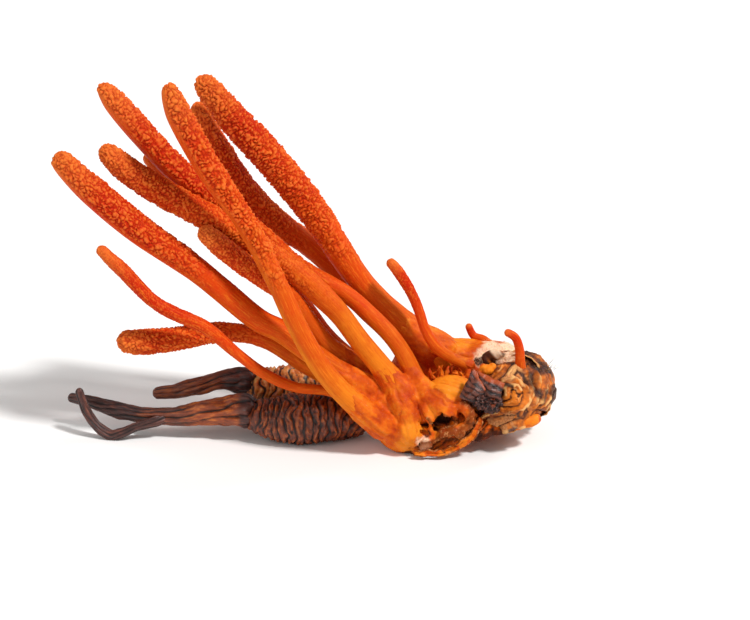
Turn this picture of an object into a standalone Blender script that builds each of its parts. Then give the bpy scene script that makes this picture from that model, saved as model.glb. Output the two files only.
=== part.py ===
"""Cordyceps bunch: orange club fungi rooted in a mycelium mat, lying on two dried larva fungi.

Run it with: blender --background --python part.py
Sizes in the tables are millimetres; MM turns them into Blender's metres. +X runs along the bunch towards
its root end, +Y away from the front, +Z up, and everything rests on z = 0. The last step centres the bunch.
"""

import math

import bmesh
import bpy
from mathutils import Matrix, Vector

MM = 0.001
GAP = 0.35 * MM  # clearance kept between pieces that touch
CLUB_SIDES = 3  # bevel resolution of a club, which gives ten sides
LARVA_SIDES = 4
STATION = 7  # mm between the rings of a club
LARVA_STATION = 1.75

# Each club runs from root to tip: x, y, z and diameter at the points that give it its bends.
CLUBS = {
    "club_tall": [
        (46, 10.5, 21, 11), (37, 10.5, 28, 10), (29.3, 10.5, 35.5, 8.7), (21.8, 11, 43, 7.5), (14.5, 11, 52, 7.8),
        (1.7, 11, 72.3, 9.2), (-11.3, 10.5, 89.2, 9.5), (-21.6, 9, 101.3, 8.5), (-30.5, 8, 113, 6.4),
    ],
    "club_behind_tall": [
        (43, 18.5, 17, 7.4), (28, 19.5, 32, 7), (14, 20.5, 44.8, 6.8), (0.5, 20.5, 57.5, 7.2), (-8.3, 20, 64.2, 7.8),
        (-18.3, 19, 75.2, 7.9), (-27.5, 18, 91, 7.2), (-33, 17, 103.5, 5.4),
    ],
    "club_front": [
        (27, -9, 7, 8), (15, -13.5, 18, 7), (5.5, -16, 30, 6.3), (-1.5, -16, 43, 6), (-7.5, -15, 56.5, 6),
        (-16.5, -14, 75, 6.3), (-27, -14, 92, 7.7), (-35.2, -13, 108, 7.3), (-38.2, -12.5, 116.7, 5.6),
    ],
    "club_upper_left": [
        (42, -5, 9, 8), (38.4, -4, 14.3, 7.2), (34.1, -2.5, 21.1, 6), (30.3, -1.5, 28.8, 5.4), (26, 0, 35, 5.2),
        (20, 2, 40.7, 5.2), (12.3, 4, 46.9, 5.3), (-2, 5, 55.4, 5.7), (-18, 5, 69.4, 6.5), (-34.2, 5, 82.3, 7.7),
        (-45.6, 4, 94.8, 7.8), (-54, 3, 105.2, 7.4), (-59.6, 3, 112.6, 5.4),
    ],
    "club_mid_left": [
        (35, -5.5, 12, 8), (29.6, -6.8, 18.8, 7.4), (23, -6.5, 27.3, 6.8), (17, -6, 35, 6.7), (11, -5, 43.2, 6.8),
        (5, -4, 49.3, 7.1), (-1, -3.5, 55, 7.2), (-8.5, -3, 60.6, 7.2), (-17.4, -3, 67.4, 7.3),
        (-29.3, -2.5, 74, 7.9), (-44, -2.5, 82.5, 8.2), (-52.6, -2.5, 88.8, 7.6), (-59, -2.5, 94.7, 5.4),
    ],
    "club_hidden": [
        (28, 11, 13, 5.6), (20.6, 10.5, 18.6, 5), (12.5, 9.6, 25.2, 4.8), (5.6, 9.5, 32.4, 4.7), (-0.5, 10, 41, 4.7),
        (-14, 11, 58, 4.9), (-32, 12, 74, 4.9), (-44, 12, 84.5, 4.8), (-48.3, 12, 89.2, 3.8),
    ],
    "club_short": [
        (23, 3.3, 19, 7.4), (13, 0.8, 26, 7), (6.6, -1.2, 32, 6.6), (1.2, -3.5, 40.5, 6), (-4, -5.5, 48.8, 5.8),
        (-12.3, -7.5, 56.2, 6.1), (-18.8, -8.3, 61.5, 6.5), (-25.2, -9, 67.3, 6.4), (-30.5, -9.3, 72.3, 4.8),
    ],
    "club_long_left": [
        (22, -4, 16.5, 7.6), (12, -7.8, 24.7, 7), (2, -8.3, 32.3, 6.8), (-7.3, -6.5, 38.6, 6.8), (-15, -6, 42.9, 7),
        (-31, -7, 57.7, 7.6), (-48.3, -8, 71.1, 8.6), (-61.3, -8.5, 83, 8.5), (-68.5, -9, 90.6, 7.2),
        (-72, -9, 95, 5.6),
    ],
    "club_low": [
        (22, 3, 11.5, 6.2), (11.5, 2.3, 17.6, 5.8), (0, 2, 24.5, 5.6), (-11, 1, 32.5, 5.5), (-19, 0, 35.5, 5.6),
        (-28, -1, 36.3, 6.2), (-38, -2, 34.8, 6.9), (-48.5, -3, 34, 7.6), (-53.5, -3, 34, 7), (-57.3, -3, 34, 5.4),
    ],
    "club_curly": [
        (20, -4.5, 12.5, 3.4), (8, -4.7, 18.1, 3.1), (-3, -6.5, 20.4, 3.1), (-12, -8, 25.2, 3.3), (-20, -9, 32, 3.4),
        (-29.5, -10, 41, 4.2), (-40, -10, 46.3, 4.2), (-46, -10, 50.5, 4), (-53.5, -10, 59, 4.3),
        (-57.5, -10, 63, 3.8), (-60.8, -10, 66.7, 3),
    ],
    "club_hook": [
        (52, 3, 23, 3.4), (46.2, 3, 25.7, 3.4), (41.5, 2, 29, 3.6), (38.7, 1.5, 32.5, 3.4), (36.5, 1.5, 36.8, 3.1),
        (35, 2, 41.5, 3.1), (33.1, 3, 46.2, 3.1), (30.6, 3, 51, 3.3), (28, 3, 55, 3.3), (25.3, 3, 58.3, 2.8),
    ],
    "sprout_ridge": [(59, 14, 25, 2.8), (55.5, 15.5, 27.6, 2.6), (52.3, 16.5, 28.6, 2.5), (50.4, 17, 32.4, 2.2)],
    "sprout_end": [
        (66.3, -3.5, 22, 3.8), (65.6, -5, 27.5, 3.2), (65.2, -5.5, 32.5, 2.8), (63.8, -5.5, 36.3, 2.6),
        (60.6, -5.5, 38.3, 2.3),
    ],
}

# The dried larvae and the dark stalks that grew out of their heads, in the same form.
LARVAE = {
    "larva_front": [
        (-19, 1, 8.8, 9), (-11, 0, 7.4, 13), (-2, -0.5, 7.5, 15.5), (6, 0.5, 7.1, 14.6), (13, 2.5, 5.6, 11.6),
        (19, 5, 3.6, 7.4),
    ],
    "larva_back": [
        (-20, 15, 13.5, 8.5), (-12, 14.8, 12.4, 11.5), (-2, 15, 12, 13.2), (7, 16, 9.8, 12.4), (14, 17.5, 5.2, 10.4),
        (20, 19, 4, 7.6),
    ],
}
LARVA_RINGS = 11  # folds along a body
RING_DEPTH = 0.05  # depth of a fold, as a share of the radius
STALKS = {
    "stalk_front": [
        (-19, 1.5, 9.6, 10.5), (-25, 2, 8.8, 9), (-32, 2, 8.2, 7.4), (-41, 2.5, 7, 5.8), (-49, 4, 6.6, 5),
        (-59.5, 7, 7.2, 5), (-68, 9, 9, 3.8), (-75.5, 11, 10, 2.9),
    ],
    "stalk_front_fork": [
        (-47.5, 0.2, 5.6, 2.6), (-53, 0, 4.4, 2.8), (-57.5, 0, 2.4, 3.1), (-61.5, 0.7, 1.5, 3.1), (-66, 1.7, 4.6, 3.1),
        (-69, 2.6, 9.8, 3), (-71, 3.5, 16, 2.3),
    ],
    "stalk_back": [
        (-20, 15, 14, 8), (-27, 14.3, 14.2, 6.2), (-34, 13.5, 12.7, 5.6), (-42, 13, 11.2, 4.6), (-49, 13, 10.4, 3.4),
    ],
}

# The crust is a fat, ringed tube whose layers face the front: x, y, z and diameter from front to back.
CRUST = [
    (56.5, -13.4, 18, 9), (57.2, -12, 17.8, 15.5), (58.7, -9.5, 17.4, 19.8), (61, -4.5, 16.8, 23.4),
    (64, 1.5, 16, 25), (65.7, 7.5, 16, 25.2), (65, 12.5, 16.6, 20.5), (64.3, 16.3, 17.4, 12.5),
]
CRUST_RINGS = 9
CRUST_STATION = 1.7
CRUST_SIDES = 6

# Soft lumps are fused ellipsoids: centre x, y, z, then half sizes, then a turn about Z in degrees.
ROOT_MAT = [
    (24, 0, 14, 10, 13, 9, 0), (31, -5, 7.5, 10, 10, 9, 0), (40, -4, 7, 11, 10, 9, -10),
    (45, -7, 12.5, 8, 6.5, 6.5, -20), (31, -4, 18, 7, 7, 8, 0), (41, 3, 12, 11, 10, 9, 0),
    (50, 9, 13, 16, 12, 11, 0), (40, 8, 8, 10, 8, 9, 0), (44, 13, 21.3, 10, 7.5, 7.5, -10),
    (56, 13, 20.3, 13, 8, 7.5, 5), (34, 12, 18, 8, 8, 8, 0),
]
BOTTOM_LOBE = [(68.3, -7.4, 10.2, 4.6, 3.4, 2.8, 20)]
CHAR_KNOB = [(53, -13.3, 18.7, 2.8, 2.6, 2.8, 0), (56.5, -12.8, 17.2, 3.3, 2.8, 3, 0)]
YELLOW_BUD = [(55.3, -7, 26.8, 2.7, 2.4, 2.4, 0)]
LUMP_VOXEL = 3
SMALL_VOXEL = 1.4

# Thin pieces: the outline's corners, x, y and z, of the flap's face, which then gets a thickness.
HUSK_LEFT = [(51.2, -9.8, 27.7), (47, -14.2, 20.4), (50.8, -15.2, 19.2), (54.2, -14.4, 22.7)]
HUSK_RIGHT = [(52.2, -9.5, 27.4), (55.1, -14.8, 21.4), (59.2, -15.2, 19.4), (60.4, -13.6, 24.4)]
HUSK_THICK = 1.3
RIND_FOLD = [(33, -15, 2.4), (42, -14.6, 2.6), (49, -14.2, 6), (52.5, -14, 10.5), (53.2, -13.8, 13.6)]
RIND_FOLD_WIDTH = 2.4
RIND_FOLD_THICK = 1.2
STRIP_LIFT = 0.6  # mm that the fold keeps above the table

COLOURS = {  # linear base colour, roughness
    "club": ((0.62, 0.12, 0.02), 0.65),
    "mat": ((0.72, 0.24, 0.04), 0.6),
    "crust": ((0.30, 0.13, 0.04), 0.75),
    "husk": ((0.07, 0.03, 0.025), 0.5),
    "larva": ((0.33, 0.14, 0.04), 0.6),
    "stalk": ((0.06, 0.03, 0.022), 0.6),
}


def clear_scene():
    for old in list(bpy.data.objects):
        bpy.data.objects.remove(old, do_unlink=True)


def collection(name):
    made = bpy.data.collections.new(name)
    bpy.context.scene.collection.children.link(made)
    return made


def material(name):
    """The Principled material of one finish, made once and shared by the pieces that have it."""
    made = bpy.data.materials.get(name)
    if made is None:
        colour, roughness = COLOURS[name]
        made = bpy.data.materials.new(name)
        made.use_nodes = True
        shader = made.node_tree.nodes["Principled BSDF"]
        shader.inputs["Base Color"].default_value = (*colour, 1)
        shader.inputs["Roughness"].default_value = roughness
        shader.inputs["Metallic"].default_value = 0
    return made


def evaluated_copy(obj):
    """A new mesh of the object as its modifiers leave it."""
    graph = bpy.context.evaluated_depsgraph_get()
    return bpy.data.meshes.new_from_object(obj.evaluated_get(graph), depsgraph=graph)


def smooth_path(guide, step):
    """Points and radii along a Catmull-Rom curve through the guide, about one step apart, in millimetres."""
    stations = []
    padded = [guide[0], *guide, guide[-1]]
    for before, start, end, after in zip(padded, padded[1:], padded[2:], padded[3:]):
        p0, p1, p2, p3 = (Vector(p[:3]) for p in (before, start, end, after))
        pieces = max(1, round((p2 - p1).length / step))
        for i in range(pieces):
            t = i / pieces
            point = 0.5 * (
                2 * p1 + (p2 - p0) * t + (2 * p0 - 5 * p1 + 4 * p2 - p3) * t**2 + (3 * p1 - p0 - 3 * p2 + p3) * t**3
            )
            ease = t * t * (3 - 2 * t)
            stations.append((point, (start[3] + (end[3] - start[3]) * ease) / 2))
    stations.append((Vector(guide[-1][:3]), guide[-1][3] / 2))
    return stations


def rounded_tip(stations):
    """The stations with their last stretch shaped into a dome that ends at the last point."""
    tip, radius = stations[-1]
    back = (stations[-2][0] - tip).normalized()
    kept = [s for s in stations if (s[0] - tip).length > radius * 1.3]
    dome = [(tip + back * radius * (1 - math.sin(a)), radius * math.cos(a)) for a in (0, 0.5, 0.95, 1.3)]
    return kept + dome


def ringed(stations, rings):
    """The stations with folds all along them, as a ripple in the radius."""
    count = len(stations) - 1
    wave = [1 + RING_DEPTH * math.cos(2 * math.pi * rings * i / count) for i in range(count + 1)]
    return [(point, radius * w) for (point, radius), w in zip(stations, wave)]


def tube(name, stations, sides, group, finish):
    """A closed mesh tube along the stations, made from a bevelled curve."""
    curve = bpy.data.curves.new(name, "CURVE")
    curve.dimensions = "3D"
    curve.bevel_depth = MM
    curve.bevel_resolution = sides
    curve.use_fill_caps = True
    spline = curve.splines.new("POLY")
    spline.points.add(len(stations) - 1)
    for at, (point, radius) in zip(spline.points, stations):
        at.co = (*(point * MM), 1)
        at.radius = radius
    guide = bpy.data.objects.new(name + "_curve", curve)
    bpy.context.scene.collection.objects.link(guide)
    mesh = evaluated_copy(guide)
    bpy.data.objects.remove(guide, do_unlink=True)
    return solid(name, mesh, group, finish, weld=True)


def solid(name, mesh, group, finish, weld=False):
    """An object of this mesh, with its doubles merged, its faces outwards and its finish set."""
    bm = bmesh.new()
    bm.from_mesh(mesh)
    if weld:
        bmesh.ops.remove_doubles(bm, verts=bm.verts, dist=1e-6)
    bmesh.ops.recalc_face_normals(bm, faces=bm.faces)
    bm.to_mesh(mesh)
    bm.free()
    obj = bpy.data.objects.new(name, mesh)
    group.objects.link(obj)
    mesh.materials.clear()
    mesh.materials.append(material(finish))
    mesh.shade_smooth()
    return obj


def lump(name, blobs, voxel, group, finish):
    """Ellipsoids fused into one soft solid by a voxel remesh."""
    bm = bmesh.new()
    for x, y, z, rx, ry, rz, turn in blobs:
        place = Matrix.Translation(Vector((x, y, z)) * MM) @ Matrix.Rotation(math.radians(turn), 4, "Z")
        size = Matrix.Diagonal((rx * MM, ry * MM, rz * MM, 1))
        bmesh.ops.create_icosphere(bm, subdivisions=3, radius=1, matrix=place @ size)
    mesh = bpy.data.meshes.new(name + "_blobs")
    bm.to_mesh(mesh)
    bm.free()
    obj = bpy.data.objects.new(name + "_blobs", mesh)
    bpy.context.scene.collection.objects.link(obj)
    fuse = obj.modifiers.new("fuse", "REMESH")
    fuse.mode = "VOXEL"
    fuse.voxel_size = voxel * MM
    soften = obj.modifiers.new("soften", "SMOOTH")
    soften.iterations = 4
    fused = evaluated_copy(obj)
    bpy.data.objects.remove(obj, do_unlink=True)
    return solid(name, fused, group, finish)


def flatten_foot(obj):
    """Cuts away what lies under the table's surface and closes the cut, so that the piece has a flat foot."""
    bm = bmesh.new()
    bm.from_mesh(obj.data)
    everything = bm.verts[:] + bm.edges[:] + bm.faces[:]
    bmesh.ops.bisect_plane(bm, geom=everything, dist=1e-7, plane_co=(0, 0, 0), plane_no=(0, 0, 1), clear_inner=True)
    rim = [e for e in bm.edges if e.is_boundary]
    if rim:
        bmesh.ops.triangle_fill(bm, edges=rim, use_beauty=True, use_dissolve=False)
        bmesh.ops.recalc_face_normals(bm, faces=bm.faces)
    bm.to_mesh(obj.data)
    bm.free()
    return obj


def grown(obj, cutters):
    """A hidden copy of the piece, larger all round by the clearance, to cut its neighbours with."""
    copy = bpy.data.objects.new(obj.name + "_grown", obj.data.copy())
    cutters.objects.link(copy)
    swell = copy.modifiers.new("swell", "DISPLACE")
    swell.strength = GAP
    swell.mid_level = 0
    copy.hide_render = True
    copy.display_type = "WIRE"
    return copy


def trimmed(obj, cutters):
    """Cuts the piece back from its grown neighbours and keeps the largest part that is left."""
    for cutter in cutters:
        cut = obj.modifiers.new("cut_" + cutter.name, "BOOLEAN")
        cut.operation = "DIFFERENCE"
        cut.solver = "EXACT"
        cut.object = cutter
    mesh = evaluated_copy(obj)
    obj.modifiers.clear()
    obj.data = mesh
    bm = bmesh.new()
    bm.from_mesh(mesh)
    bmesh.ops.remove_doubles(bm, verts=bm.verts, dist=2e-5)
    bmesh.ops.dissolve_degenerate(bm, edges=bm.edges, dist=2e-5)
    islands = []
    left = set(bm.verts)
    while left:
        reached = [left.pop()]
        for vert in reached:
            for edge in vert.link_edges:
                other = edge.other_vert(vert)
                if other in left:
                    left.discard(other)
                    reached.append(other)
        islands.append(reached)
    islands.sort(key=len)
    for island in islands[:-1]:
        bmesh.ops.delete(bm, geom=island, context="VERTS")
    bm.to_mesh(mesh)
    bm.free()
    return obj


def flap(name, corners, thickness, group, finish):
    """A thin, slightly cupped plate on four corners."""
    bm = bmesh.new()
    rim = [bm.verts.new(Vector(c) * MM) for c in corners]
    bm.faces.new(rim)
    bmesh.ops.subdivide_edges(bm, edges=bm.edges, cuts=2, use_grid_fill=True)
    points = [Vector(c) * MM for c in corners]
    middle = sum(points, Vector()) / len(points)
    size = max((p - middle).length for p in points)
    for vert in bm.verts:
        inside = 1 - min(1, (vert.co - middle).length / size)
        vert.co.y -= 1.6 * MM * inside
    mesh = bpy.data.meshes.new(name + "_sheet")
    bm.to_mesh(mesh)
    bm.free()
    obj = bpy.data.objects.new(name + "_sheet", mesh)
    bpy.context.scene.collection.objects.link(obj)
    wall = obj.modifiers.new("wall", "SOLIDIFY")
    wall.thickness = thickness * MM
    wall.offset = 0
    plate = evaluated_copy(obj)
    bpy.data.objects.remove(obj, do_unlink=True)
    return solid(name, plate, group, finish)


def strip(name, guide, width, thickness, group, finish):
    """A narrow sheet that stands on edge and follows the guide."""
    stations = smooth_path([(*p, width) for p in guide], 3)
    bm = bmesh.new()
    rows = []
    for point, half in stations:
        low = max(point.z - half, STRIP_LIFT)
        high = point.z + half
        heights = (low, (low + high) / 2, high)
        rows.append([bm.verts.new(Vector((point.x, point.y, z)) * MM) for z in heights])
    for row, after in zip(rows, rows[1:]):
        for a, b, c, d in zip(row, after, after[1:], row[1:]):
            bm.faces.new((a, b, c, d))
    mesh = bpy.data.meshes.new(name + "_sheet")
    bm.to_mesh(mesh)
    bm.free()
    obj = bpy.data.objects.new(name + "_sheet", mesh)
    bpy.context.scene.collection.objects.link(obj)
    wall = obj.modifiers.new("wall", "SOLIDIFY")
    wall.thickness = thickness * MM
    wall.offset = 0
    plate = evaluated_copy(obj)
    bpy.data.objects.remove(obj, do_unlink=True)
    return solid(name, plate, group, finish)


def centre_over_origin(group):
    """Moves the bunch so that the origin is at the middle of its box's underside."""
    bpy.context.view_layer.update()
    corners = [obj.matrix_world @ Vector(c) for obj in group.objects for c in obj.bound_box]
    low = Vector(min(c[i] for c in corners) for i in range(3))
    high = Vector(max(c[i] for c in corners) for i in range(3))
    shift = Vector(((low.x + high.x) / 2, (low.y + high.y) / 2, low.z))
    root = bpy.data.objects.new("bunch", None)
    group.objects.link(root)
    for obj in group.objects:
        if obj is not root:
            obj.parent = root
    root.location = -shift
    print("moved by", [round(v / MM, 3) for v in -shift], "mm")


def main():
    clear_scene()
    bunch = collection("cordyceps_bunch")
    cutters = collection("cutters")

    mat = flatten_foot(lump("root_mat", ROOT_MAT, LUMP_VOXEL, bunch, "mat"))
    near = [grown(mat, cutters)]
    folds = rounded_tip(ringed(smooth_path(CRUST, CRUST_STATION), CRUST_RINGS))
    block = flatten_foot(tube("substrate_crust", folds, CRUST_SIDES, bunch, "crust"))
    near.append(grown(trimmed(block, near), cutters))

    for name, guide in CLUBS.items():
        club = tube(name, rounded_tip(smooth_path(guide, STATION)), CLUB_SIDES, bunch, "club")
        trimmed(club, near)
    for name, guide in LARVAE.items():
        body = rounded_tip(ringed(smooth_path(guide, LARVA_STATION), LARVA_RINGS))
        larva = flatten_foot(tube(name, body, LARVA_SIDES, bunch, "larva"))
        near.append(grown(trimmed(larva, near[:2]), cutters))
    for name, guide in STALKS.items():
        stalk = flatten_foot(tube(name, rounded_tip(smooth_path(guide, STATION)), CLUB_SIDES, bunch, "stalk"))
        near.append(grown(trimmed(stalk, near[2:]), cutters))

    for name, blobs, finish in (
        ("bottom_lobe", BOTTOM_LOBE, "mat"),
        ("char_knob", CHAR_KNOB, "husk"),
        ("yellow_bud", YELLOW_BUD, "mat"),
    ):
        piece = flatten_foot(lump(name, blobs, SMALL_VOXEL, bunch, finish))
        near.append(grown(trimmed(piece, near), cutters))
    for name, corners in (("husk_left", HUSK_LEFT), ("husk_right", HUSK_RIGHT)):
        husk = flap(name, corners, HUSK_THICK, bunch, "husk")
        near.append(grown(trimmed(husk, near), cutters))
    fold = strip("rind_fold", RIND_FOLD, RIND_FOLD_WIDTH, RIND_FOLD_THICK, bunch, "mat")
    trimmed(fold, near)

    centre_over_origin(bunch)


main()
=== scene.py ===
"""The looks of the cordyceps bunch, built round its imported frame.

The tables hold millimetres in the axes the part is drawn in; CENTRING and MM turn them into the frame's
metres. +X runs along the bunch towards its root end, +Y away from the front and +Z up.
"""

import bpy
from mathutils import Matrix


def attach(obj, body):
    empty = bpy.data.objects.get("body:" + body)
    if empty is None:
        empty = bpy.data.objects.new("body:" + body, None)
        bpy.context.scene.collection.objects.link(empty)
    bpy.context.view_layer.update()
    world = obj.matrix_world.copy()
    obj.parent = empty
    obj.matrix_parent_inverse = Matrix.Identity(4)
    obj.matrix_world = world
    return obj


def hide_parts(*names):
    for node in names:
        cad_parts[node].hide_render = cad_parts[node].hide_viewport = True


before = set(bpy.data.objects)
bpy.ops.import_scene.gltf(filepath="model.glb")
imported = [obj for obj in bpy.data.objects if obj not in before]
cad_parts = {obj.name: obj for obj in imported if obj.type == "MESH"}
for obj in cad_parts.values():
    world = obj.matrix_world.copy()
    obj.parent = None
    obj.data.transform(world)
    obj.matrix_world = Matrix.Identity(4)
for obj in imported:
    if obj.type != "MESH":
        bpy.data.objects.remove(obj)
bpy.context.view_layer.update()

import itertools
import math

import bmesh
import bpy
import numpy as np
from mathutils import Matrix, Vector

bl_info = {
    "name": "Cordyceps bunch",
    "version": (1, 0, 0),
    "blender": (4, 5, 0),
    "location": "3D View > Sidebar > Bunch",
    "description": "Builds a bunch of orange club fungi with its mat, crust and dried larvae",
    "category": "Add Mesh",
}

MM = 0.001
CENTRING = np.array((-1.286, -2.479, 0.0))  # mm from the tables' origin to the middle of the bunch's foot
BODY = "root"
FINE_STEP = 0.1  # mm between the points of a smooth curve
MARK_DEPTH = np.array((0.0, 0.94, -0.34))  # the direction in which the marks reach deep
SPIN = np.array(((0.36, 0.48, -0.80), (-0.80, 0.60, 0.0), (0.48, 0.64, 0.60)))  # a turn out of the axes
MARK_REACH = 0.72  # how much of a point's distance in that direction is left out round a mark
RIM_REACH = 0.85  # and beside a rim

THIN_SPACING = 0.24  # mm between the rings of a thin club
LAYER = 3.3  # mm between the crust's layers
CRUST_CLEAR = 0.3  # mm that the crust stays above the ground
LARVA_RINGS = {"larva_front": 2.3, "larva_back": 3.0}  # mm between the rings of each larva
HUSK_THICK = 0.35  # mm, the walls of the thin pieces
FLAKE_THICK = 0.32
CHIP_THICK = 0.2
FOLD_THICK = 0.45
CHIPS = 22  # how many membrane chips stand in the hollow
THREADS = 1000  # how many loose white threads stand on the bloom
THREAD_RADIUS = 0.045  # mm at the foot
BRISTLES = 26
BRISTLE_RADIUS = 0.08
LOOK_AT = (0.020, 0.0114, 0.0381)  # m, what the camera is aimed at
SENSOR_WIDTH = 36  # mm
NEAREST_SEEN = 0.01  # m in front of the camera
FLOOR_HALF = 6  # m from the middle of the floor to its sides

# The kinds of shader node used most.
ATTRIBUTE = "ShaderNodeAttribute"
NOISE = "ShaderNodeTexNoise"
RANGE = "ShaderNodeMapRange"
MATH = "ShaderNodeMath"
MIX = "ShaderNodeMix"
SMOOTH = {"clamp": True, "interpolation_type": "SMOOTHSTEP"}

# The clubs run from root to tip: x, y, z and diameter.
CLUBS = {
    "club_tall": [
        (46, 10.5, 21, 11), (37, 10.5, 28, 10), (29.3, 10.5, 35.5, 8.7), (21.8, 11, 43, 7.5),
        (14.5, 11, 52, 7.8), (1.7, 11, 72.3, 9.2), (-11.3, 10.5, 89.2, 9.5), (-20.8, 9, 100.3, 8.8),
        (-27.3, 8.3, 108.8, 7.4), (-31, 8, 113.4, 4.8),
    ],
    "club_behind_tall": [
        (43, 18.5, 17, 7.4), (28, 19.5, 32, 7), (14, 20.5, 44.8, 6.8), (0.5, 20.5, 57.5, 7.2),
        (-8.3, 20, 64.2, 7.8), (-18.3, 19, 75.2, 7.9), (-27.5, 18, 91, 7.2), (-33, 17, 103.5, 5.4),
    ],
    "club_front": [
        (27, -9, 7, 8), (15, -13.5, 18, 7), (5.5, -16, 30, 6.3), (-1.5, -16, 43, 6), (-7.5, -15, 56.5, 6),
        (-16.5, -14, 75, 6.3), (-27, -14, 92, 7.7), (-34.2, -13, 105.5, 7.4), (-36.9, -12.8, 112, 6),
        (-38.3, -12.5, 116.7, 3.6),
    ],
    "club_upper_left": [
        (42, -5, 9, 8), (38.4, -4, 14.3, 7.2), (34.1, -2.5, 21.1, 6), (30.3, -1.5, 28.8, 5.4),
        (26, 0, 35, 5.2), (20, 2, 40.7, 5.2), (12.3, 4, 46.9, 5.3), (-2, 5, 55.4, 5.7), (-18, 5, 69.4, 6.5),
        (-34.2, 5, 82.3, 7.7), (-45.6, 4, 94.8, 7.8), (-54, 3, 105.2, 7.4), (-57.6, 3, 110, 5.9),
        (-59.9, 3, 112.9, 3),
    ],
    "club_mid_left": [
        (35, -5.5, 12, 8), (29.6, -6.8, 18.8, 7.4), (23, -6.5, 27.3, 6.8), (17, -6, 35, 6.7),
        (11, -5, 43.2, 6.8), (5, -4, 49.3, 7.1), (-1, -3.5, 55, 7.2), (-8.5, -3, 60.6, 7.2),
        (-17.4, -3, 67.4, 7.3), (-29.3, -2.5, 74, 7.9), (-44, -2.5, 82.5, 8.2), (-52.6, -2.5, 88.8, 7.6),
        (-57.4, -2.5, 93.1, 6), (-59.8, -2.5, 95, 3.2),
    ],
    "club_hidden": [
        (28, 11, 13, 5.6), (20.6, 10.5, 18.6, 5), (12.5, 9.6, 25.2, 4.8), (5.6, 9.5, 32.4, 4.7),
        (-0.5, 10, 41, 4.7), (-14, 11, 58, 4.9), (-32, 12, 74, 4.9), (-44, 12, 84.5, 4.8),
        (-48.3, 12, 89.2, 3.8),
    ],
    "club_short": [
        (23, 3.3, 19, 7.4), (13, 0.8, 26, 7), (6.6, -1.2, 32, 6.6), (1.2, -3.5, 40.5, 6),
        (-4, -5.5, 48.8, 5.8), (-12.3, -7.5, 56.2, 6.1), (-18.8, -8.3, 61.5, 6.5), (-25.2, -9, 67.3, 6.4),
        (-30.5, -9.3, 72.3, 4.8),
    ],
    "club_long_left": [
        (22, -4, 16.5, 7.6), (12, -7.8, 24.7, 7), (2, -8.3, 32.3, 6.8), (-7.3, -6.5, 38.6, 6.8),
        (-15, -6, 42.9, 7), (-31, -7, 57.7, 7.6), (-48.3, -8, 71.1, 8.6), (-61.3, -8.5, 83, 8.5),
        (-68.5, -9, 90.6, 7.2), (-72, -9, 95, 5.6),
    ],
    "club_low": [
        (22, 3, 11.5, 6.2), (11.5, 2.3, 17.6, 5.8), (0, 2, 24.5, 5.6), (-11, 1, 32.5, 5.5),
        (-19, 0, 35.5, 5.6), (-28, -1, 36.3, 6.2), (-38, -2, 34.8, 6.9), (-48.5, -3, 34, 7.6),
        (-53.5, -3, 34, 7), (-57.3, -3, 34, 5.4),
    ],
}
THIN_CLUBS = {
    "club_curly": [
        (20, -4.5, 12.5, 3.4), (8, -4.7, 18.1, 3.1), (-3, -6.5, 20.4, 3.1), (-12, -8, 25.2, 3.3),
        (-20, -9, 32, 3.4), (-29.5, -10, 41, 4.2), (-40, -10, 46.3, 4.2), (-46, -10, 50.5, 4),
        (-53.5, -10, 59, 4.3), (-57.5, -10, 63, 3.8), (-60.8, -10, 66.7, 3),
    ],
    "club_hook": [
        (52, 3, 23, 3.4), (46.2, 3, 25.7, 3.4), (41.5, 2, 29, 3.6), (38.7, 1.5, 32.5, 3.4),
        (36.5, 1.5, 36.8, 3.1), (35, 2, 41.5, 3.1), (33.1, 3, 46.2, 3.1), (30.6, 3, 51, 3.3),
        (28, 3, 55, 3.3), (25.3, 3, 58.3, 2.8),
    ],
    "sprout_ridge": [
        (59, 14, 25, 2.8), (55.5, 15.5, 27.6, 2.6), (52.3, 16.5, 28.6, 2.5), (50.4, 17, 32.4, 2.2),
    ],
    "sprout_end": [
        (66.3, -3.5, 22, 3.8), (65.6, -5, 27.5, 3.2), (65.2, -5.5, 32.5, 2.8), (63.8, -5.5, 36.3, 2.6),
        (60.6, -5.5, 38.3, 2.3),
    ],
}
# How each club is finished: the shares of its length where the grains begin and are full, grain width and
# height in mm, how much they are squeezed along the club, its tone from yellow (-1) to dark red (1), and the
# direction its bare side looks in, if it has one. The clubs that stand in others' shade (club_behind_tall,
# club_mid_left, club_short and club_low) have lighter tones, painted light that lifts their shade.
CLUB_LOOKS = {
    "club_tall": (0.36, 0.56, 1.3, 0.68, 1.45, 0.0, None),
    "club_behind_tall": (0.42, 0.66, 1.1, 0.48, 1.1, -0.2, None),
    "club_front": (0.42, 0.60, 1.25, 0.64, 1.1, -0.30, (-0.88, -0.20, -0.42)),
    "club_upper_left": (0.28, 0.60, 1.12, 0.52, 1.15, 0.2, (-0.55, -0.35, -0.75)),
    "club_mid_left": (0.36, 0.56, 1.1, 0.48, 1.3, -0.45, None),
    "club_hidden": (0.55, 0.85, 0.8, 0.10, 1.0, 0.5, None),
    "club_short": (0.42, 0.75, 0.95, 0.38, 1.15, -0.4, None),
    "club_long_left": (0.46, 0.64, 1.08, 0.52, 1.0, 0.25, (-0.45, -0.1, -0.88)),
    "club_low": (0.45, 0.62, 1.05, 0.48, 1.0, -0.4, None),
    "club_curly": (0.30, 0.75, 0.62, 0.17, 1.0, 0.25, None),
    "club_hook": (0.50, 0.80, 0.62, 0.15, 1.0, 0.3, None),
    "sprout_ridge": (2.0, 3.0, 0.6, 0.05, 1.0, -0.2, None),
    "sprout_end": (0.5, 1.2, 0.7, 0.06, 1.0, 0.1, None),
}

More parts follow.
